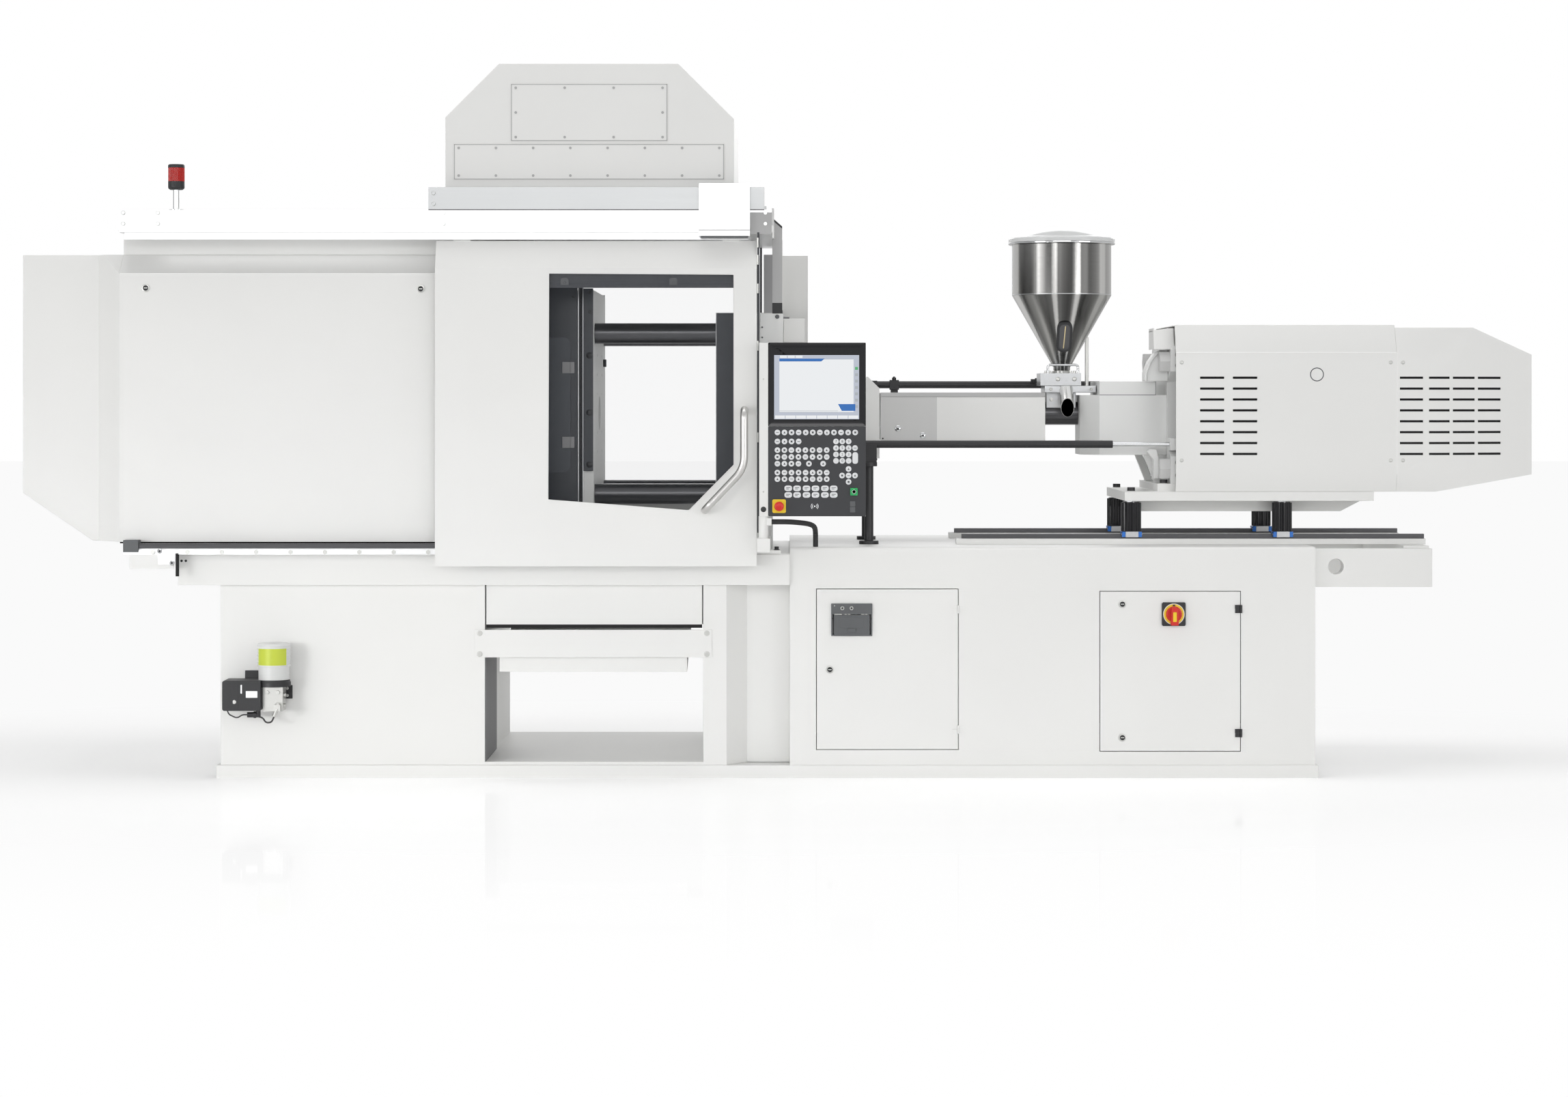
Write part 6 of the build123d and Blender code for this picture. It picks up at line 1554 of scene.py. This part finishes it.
    def controls(self):
        """Emergency stop, start key, dark keys and the reader's mark."""
        face = self.face
        single("stop backing", "yellow", "panel", 0.8, front_plate, oblong(*self.stop, 47, 47, 6), face - 2.4,
               face + 0.4)
        bm = bmesh.new()
        middle = (self.stop[0], face, self.stop[1])
        profile = [(0.0, 28.4), (9.0, 28.2), (14.0, 27.0), (16.4, 24.0), (16.4, 20.0), (13.5, 17.0),
                   (10.4, 11.5), (9.0, 9.0), (9.0, 6.7), (0.0, 6.7)]
        turned(bm, profile, middle, FRONT, 40)
        piece("stop button", bm, "red", "stop", ("emergency_stop",), edge=0)
        single("stop collar", "black plastic", "panel", 0, turned,
               [(11.6, 2.4), (11.6, 6.6), (13.6, 6.6), (14.6, 2.4), (11.6, 2.4)], middle, FRONT, 32)
        bm = bmesh.new()
        front_plate(bm, oblong(*self.start, 26, 26, 2.5), face - 9, face - 4.2)
        slab(bm, (479, face - 4.2, 1004), (491, face + 0.4, 1016))
        piece("start key", bm, "green", "start", ("start_button",), edge=0.8)
        bm = bmesh.new()
        front_plate(bm, [(485.1, 1001.5), (493.8, 1010.2), (485.1, 1018.9), (476.4, 1010.2)], face - 9.3,
                    face - 9)
        front = min(bm.faces, key=lambda item: item.calc_center_median().y)
        bmesh.ops.inset_region(bm, faces=[front], thickness=1.5)
        bmesh.ops.delete(bm, geom=[front], context="FACES")
        piece("start mark", bm, "print white", "start", edge=0)
        bm = bmesh.new()
        for z in (967.9, 947.8):
            front_plate(bm, oblong(480.6, z, 18.7, 18.7, 2), face - 1.2, face + 0.4)
        piece("dark keys", bm, "grey plastic", "panel", edge=0.5)
        bm = bmesh.new()
        turned(bm, [(0.0, 0.2), (2.6, 0.2), (2.6, 0.0)], (349.3, face + 0.4, 959.7), FRONT, 20)
        for radius in (7.0, 11.5):
            for turn in (0.0, pi):
                arc = [turn - 0.8 + 1.6 * k / 8 for k in range(9)]
                line = [(349.3 + r * cos(a), 959.7 + r * sin(a)) for r,
                        path in ((radius, arc), (radius + 1.8, reversed(arc))) for a in path]
                front_plate(bm, line, face + 0.1, face + 0.4)
        piece("reader mark", bm, "print white", "panel", edge=0)


class MOULDING_OT_doors(Step, Operator):
    """Makes the sliding doors: sheet, gasket, window, handle and inner rail"""

    bl_idname = "moulding.doors"
    bl_label = "Sliding doors"

    window = ((-575, 1768), (67, 1764), (67, 1102), (-89, 944), (-578, 981))
    corners = (2, 14, 4, 6, 2)

    def execute(self, context):
        for side, body, sheet in ((-1, "front_door", "front_door_panel"),
                                  (1, "rear_door", "rear_door_panel")):
            bm = cad_shape("front_door_panel")
            if side > 0:
                bmesh.ops.scale(bm, vec=(1, -1, 1), verts=bm.verts)
            piece(sheet + "_dressed", bm, "white coat", body, (sheet,), 1.4, angle=20, scale=1.0)
            self.gasket(side, body)
            self.pane(side, body)
        self.handle()
        self.inner_rail()
        self.edge_strip()
        return {"FINISHED"}

    def gasket(self, side, body):
        """The dark rubber edge round the window hole."""
        bm = bmesh.new()
        ring(bm, rounded(self.window, self.corners), side * 621.0, 3.0, -side * 6.5)
        piece(body + " window edge", bm, "gasket", body, edge=0.5)

    def pane(self, side, body):
        """The clear sheet behind the window hole."""
        bm = bmesh.new()
        outline = rounded([(-590, 1776), (82, 1776), (82, 1096), (-84, 930), (-592, 966)], 8)
        front_plate(bm, outline, side * 615.0, side * 609.0)
        piece(body + " window", bm, "window", body, ("front_door_window",) if side < 0 else (), edge=0.5)

    def handle(self):
        """The bent handle of the front door."""
        stand = -690
        tube("door handle", [(105, -620, 1293), (105, stand, 1293), (105, stand, 1090), (-32, stand, 945),
                             (-32, -620, 945)], 13.5, "brushed handle", "front_door", ("front_door_handle",),
                             42.0)

    def inner_rail(self):
        """The dark stiffening rail behind the window's upper edge with its two latches."""
        slabs("door inner rail", "dark guard", "front_door", 1.0, ((-592, -606, 1719), (84, -598, 1777)),
              ((-592, -612, 1768), (84, -598, 1777)), ((-592, -607, 1732), (84, -606, 1740)))
        bm = bmesh.new()
        for x in (-522, -143):
            slab(bm, (x - 14, -609, 1729), (x + 14, -606, 1750))
            slab(bm, (x - 10, -608.5, 1750), (x + 10, -606, 1754))
            turned(bm, [(0.0, 2.2), (3.4, 2.0), (4.0, 0.0)], (x, -609, 1738), FRONT, 16)
        piece("door latches", bm, "grey plastic", "front_door", edge=0.8)

    def edge_strip(self):
        """The clips on the post that the front door closes against."""
        bm = bmesh.new()
        for z in (830, 1180, 1500, 1700, 1800, 1860):
            slab(bm, (148.6, -607, z), (154, -604, z + 34))
        piece("closing post clips", bm, "zinc", "frame", edge=0.5)


class MOULDING_OT_clamp(Step, Operator):
    """Adds the dark guard sheets on the moving platen's side, whose near-black is painted shade, and the
    fittings on the platens
    """

    bl_idname = "moulding.clamp"
    bl_label = "Clamp fittings"

    def execute(self, context):
        side = -370.0
        # The flap's near-black colour is painted shade on the platen's side
        single("platen guard flap", "guard light", "platen", 1.0, front_plate,
               oblong(-578, 1310, 122, 481, 30), side - 9, side - 6)
        slabs("guard joint", "rubber", "platen", 0, ((-491, side - 2.2, 800), (-471, side - 0.4, 1727)))
        bm = bmesh.new()
        for z in (1443, 1177):
            slab(bm, (-546, side - 12.5, z - 20), (-503, side - 9, z + 20))
            slab(bm, (-517, side - 15, z - 20), (-511, side - 12, z + 20))
        piece("flap hinges", bm, "column dark", "platen", edge=0.8)
        bm = bmesh.new()
        for x in (-490, -474):
            slab(bm, (x, side - 10, 800), (x + 3, side, 1728))
        piece("guard mouldings", bm, "machined steel", "platen", edge=0.6)
        bm = bmesh.new()
        for z in (1711, 1643):
            turned(bm, [(0.0, 3.0), (6.0, 3.0), (7.0, 0.0)], (-447, side - 12, z), FRONT, 20)
        for z in (1486, 1283, 1098):
            turned(bm, [(0.0, 4.0), (4.0, 3.8), (8.0, 3.0), (11.5, 1.0), (11.5, 0.0)], (-449, side - 12, z),
                   FRONT, 24)
        turned(bm, [(0.0, 2.0), (3.5, 2.0), (4.5, 0.0)], (-507, side - 6, 1697), FRONT, 16)
        piece("platen guard screws", bm, "black coat", "platen", edge=0)
        bm = bmesh.new()
        for z in (1590, 1466):
            slab(bm, (-434.9, 236, z - 14), (-424, 258, z + 14))
        piece("platen clips", bm, "black plastic", "platen", edge=1.0)
        return {"FINISHED"}


STEPS = (MOULDING_OT_stage, MOULDING_OT_solids, MOULDING_OT_base, MOULDING_OT_doors, MOULDING_OT_clamp,
         MOULDING_OT_guards, MOULDING_OT_beacon, MOULDING_OT_lubricator, MOULDING_OT_injection,
         MOULDING_OT_hopper, MOULDING_OT_panel)


class MOULDING_PT_sidebar(Panel):
    """Lists the steps that build the machine"""

    bl_idname = "MOULDING_PT_sidebar"
    bl_label = "Injection moulding machine"
    bl_space_type = "VIEW_3D"
    bl_region_type = "UI"
    bl_category = "Moulding"

    def draw(self, context):
        for step in STEPS:
            self.layout.operator(step.bl_idname)
        for group in (context.scene.moulding_sizes, context.scene.moulding_colours):
            box = self.layout.box()
            for name in group.__annotations__:
                box.prop(group, name)


CLASSES = (MOULDING_PG_sizes, MOULDING_PG_colours, *STEPS, MOULDING_PT_sidebar)


def register():
    for made in CLASSES:
        bpy.utils.register_class(made)
    bpy.types.Scene.moulding_sizes = PointerProperty(type=MOULDING_PG_sizes)
    bpy.types.Scene.moulding_colours = PointerProperty(type=MOULDING_PG_colours)


def unregister():
    del bpy.types.Scene.moulding_colours
    del bpy.types.Scene.moulding_sizes
    for made in reversed(CLASSES):
        bpy.utils.unregister_class(made)


def main():
    """Builds the machine step by step."""
    register()
    for step in STEPS:
        group, name = step.bl_idname.split(".")
        getattr(getattr(bpy.ops, group), name)()


if __name__ == "__main__":
    main()
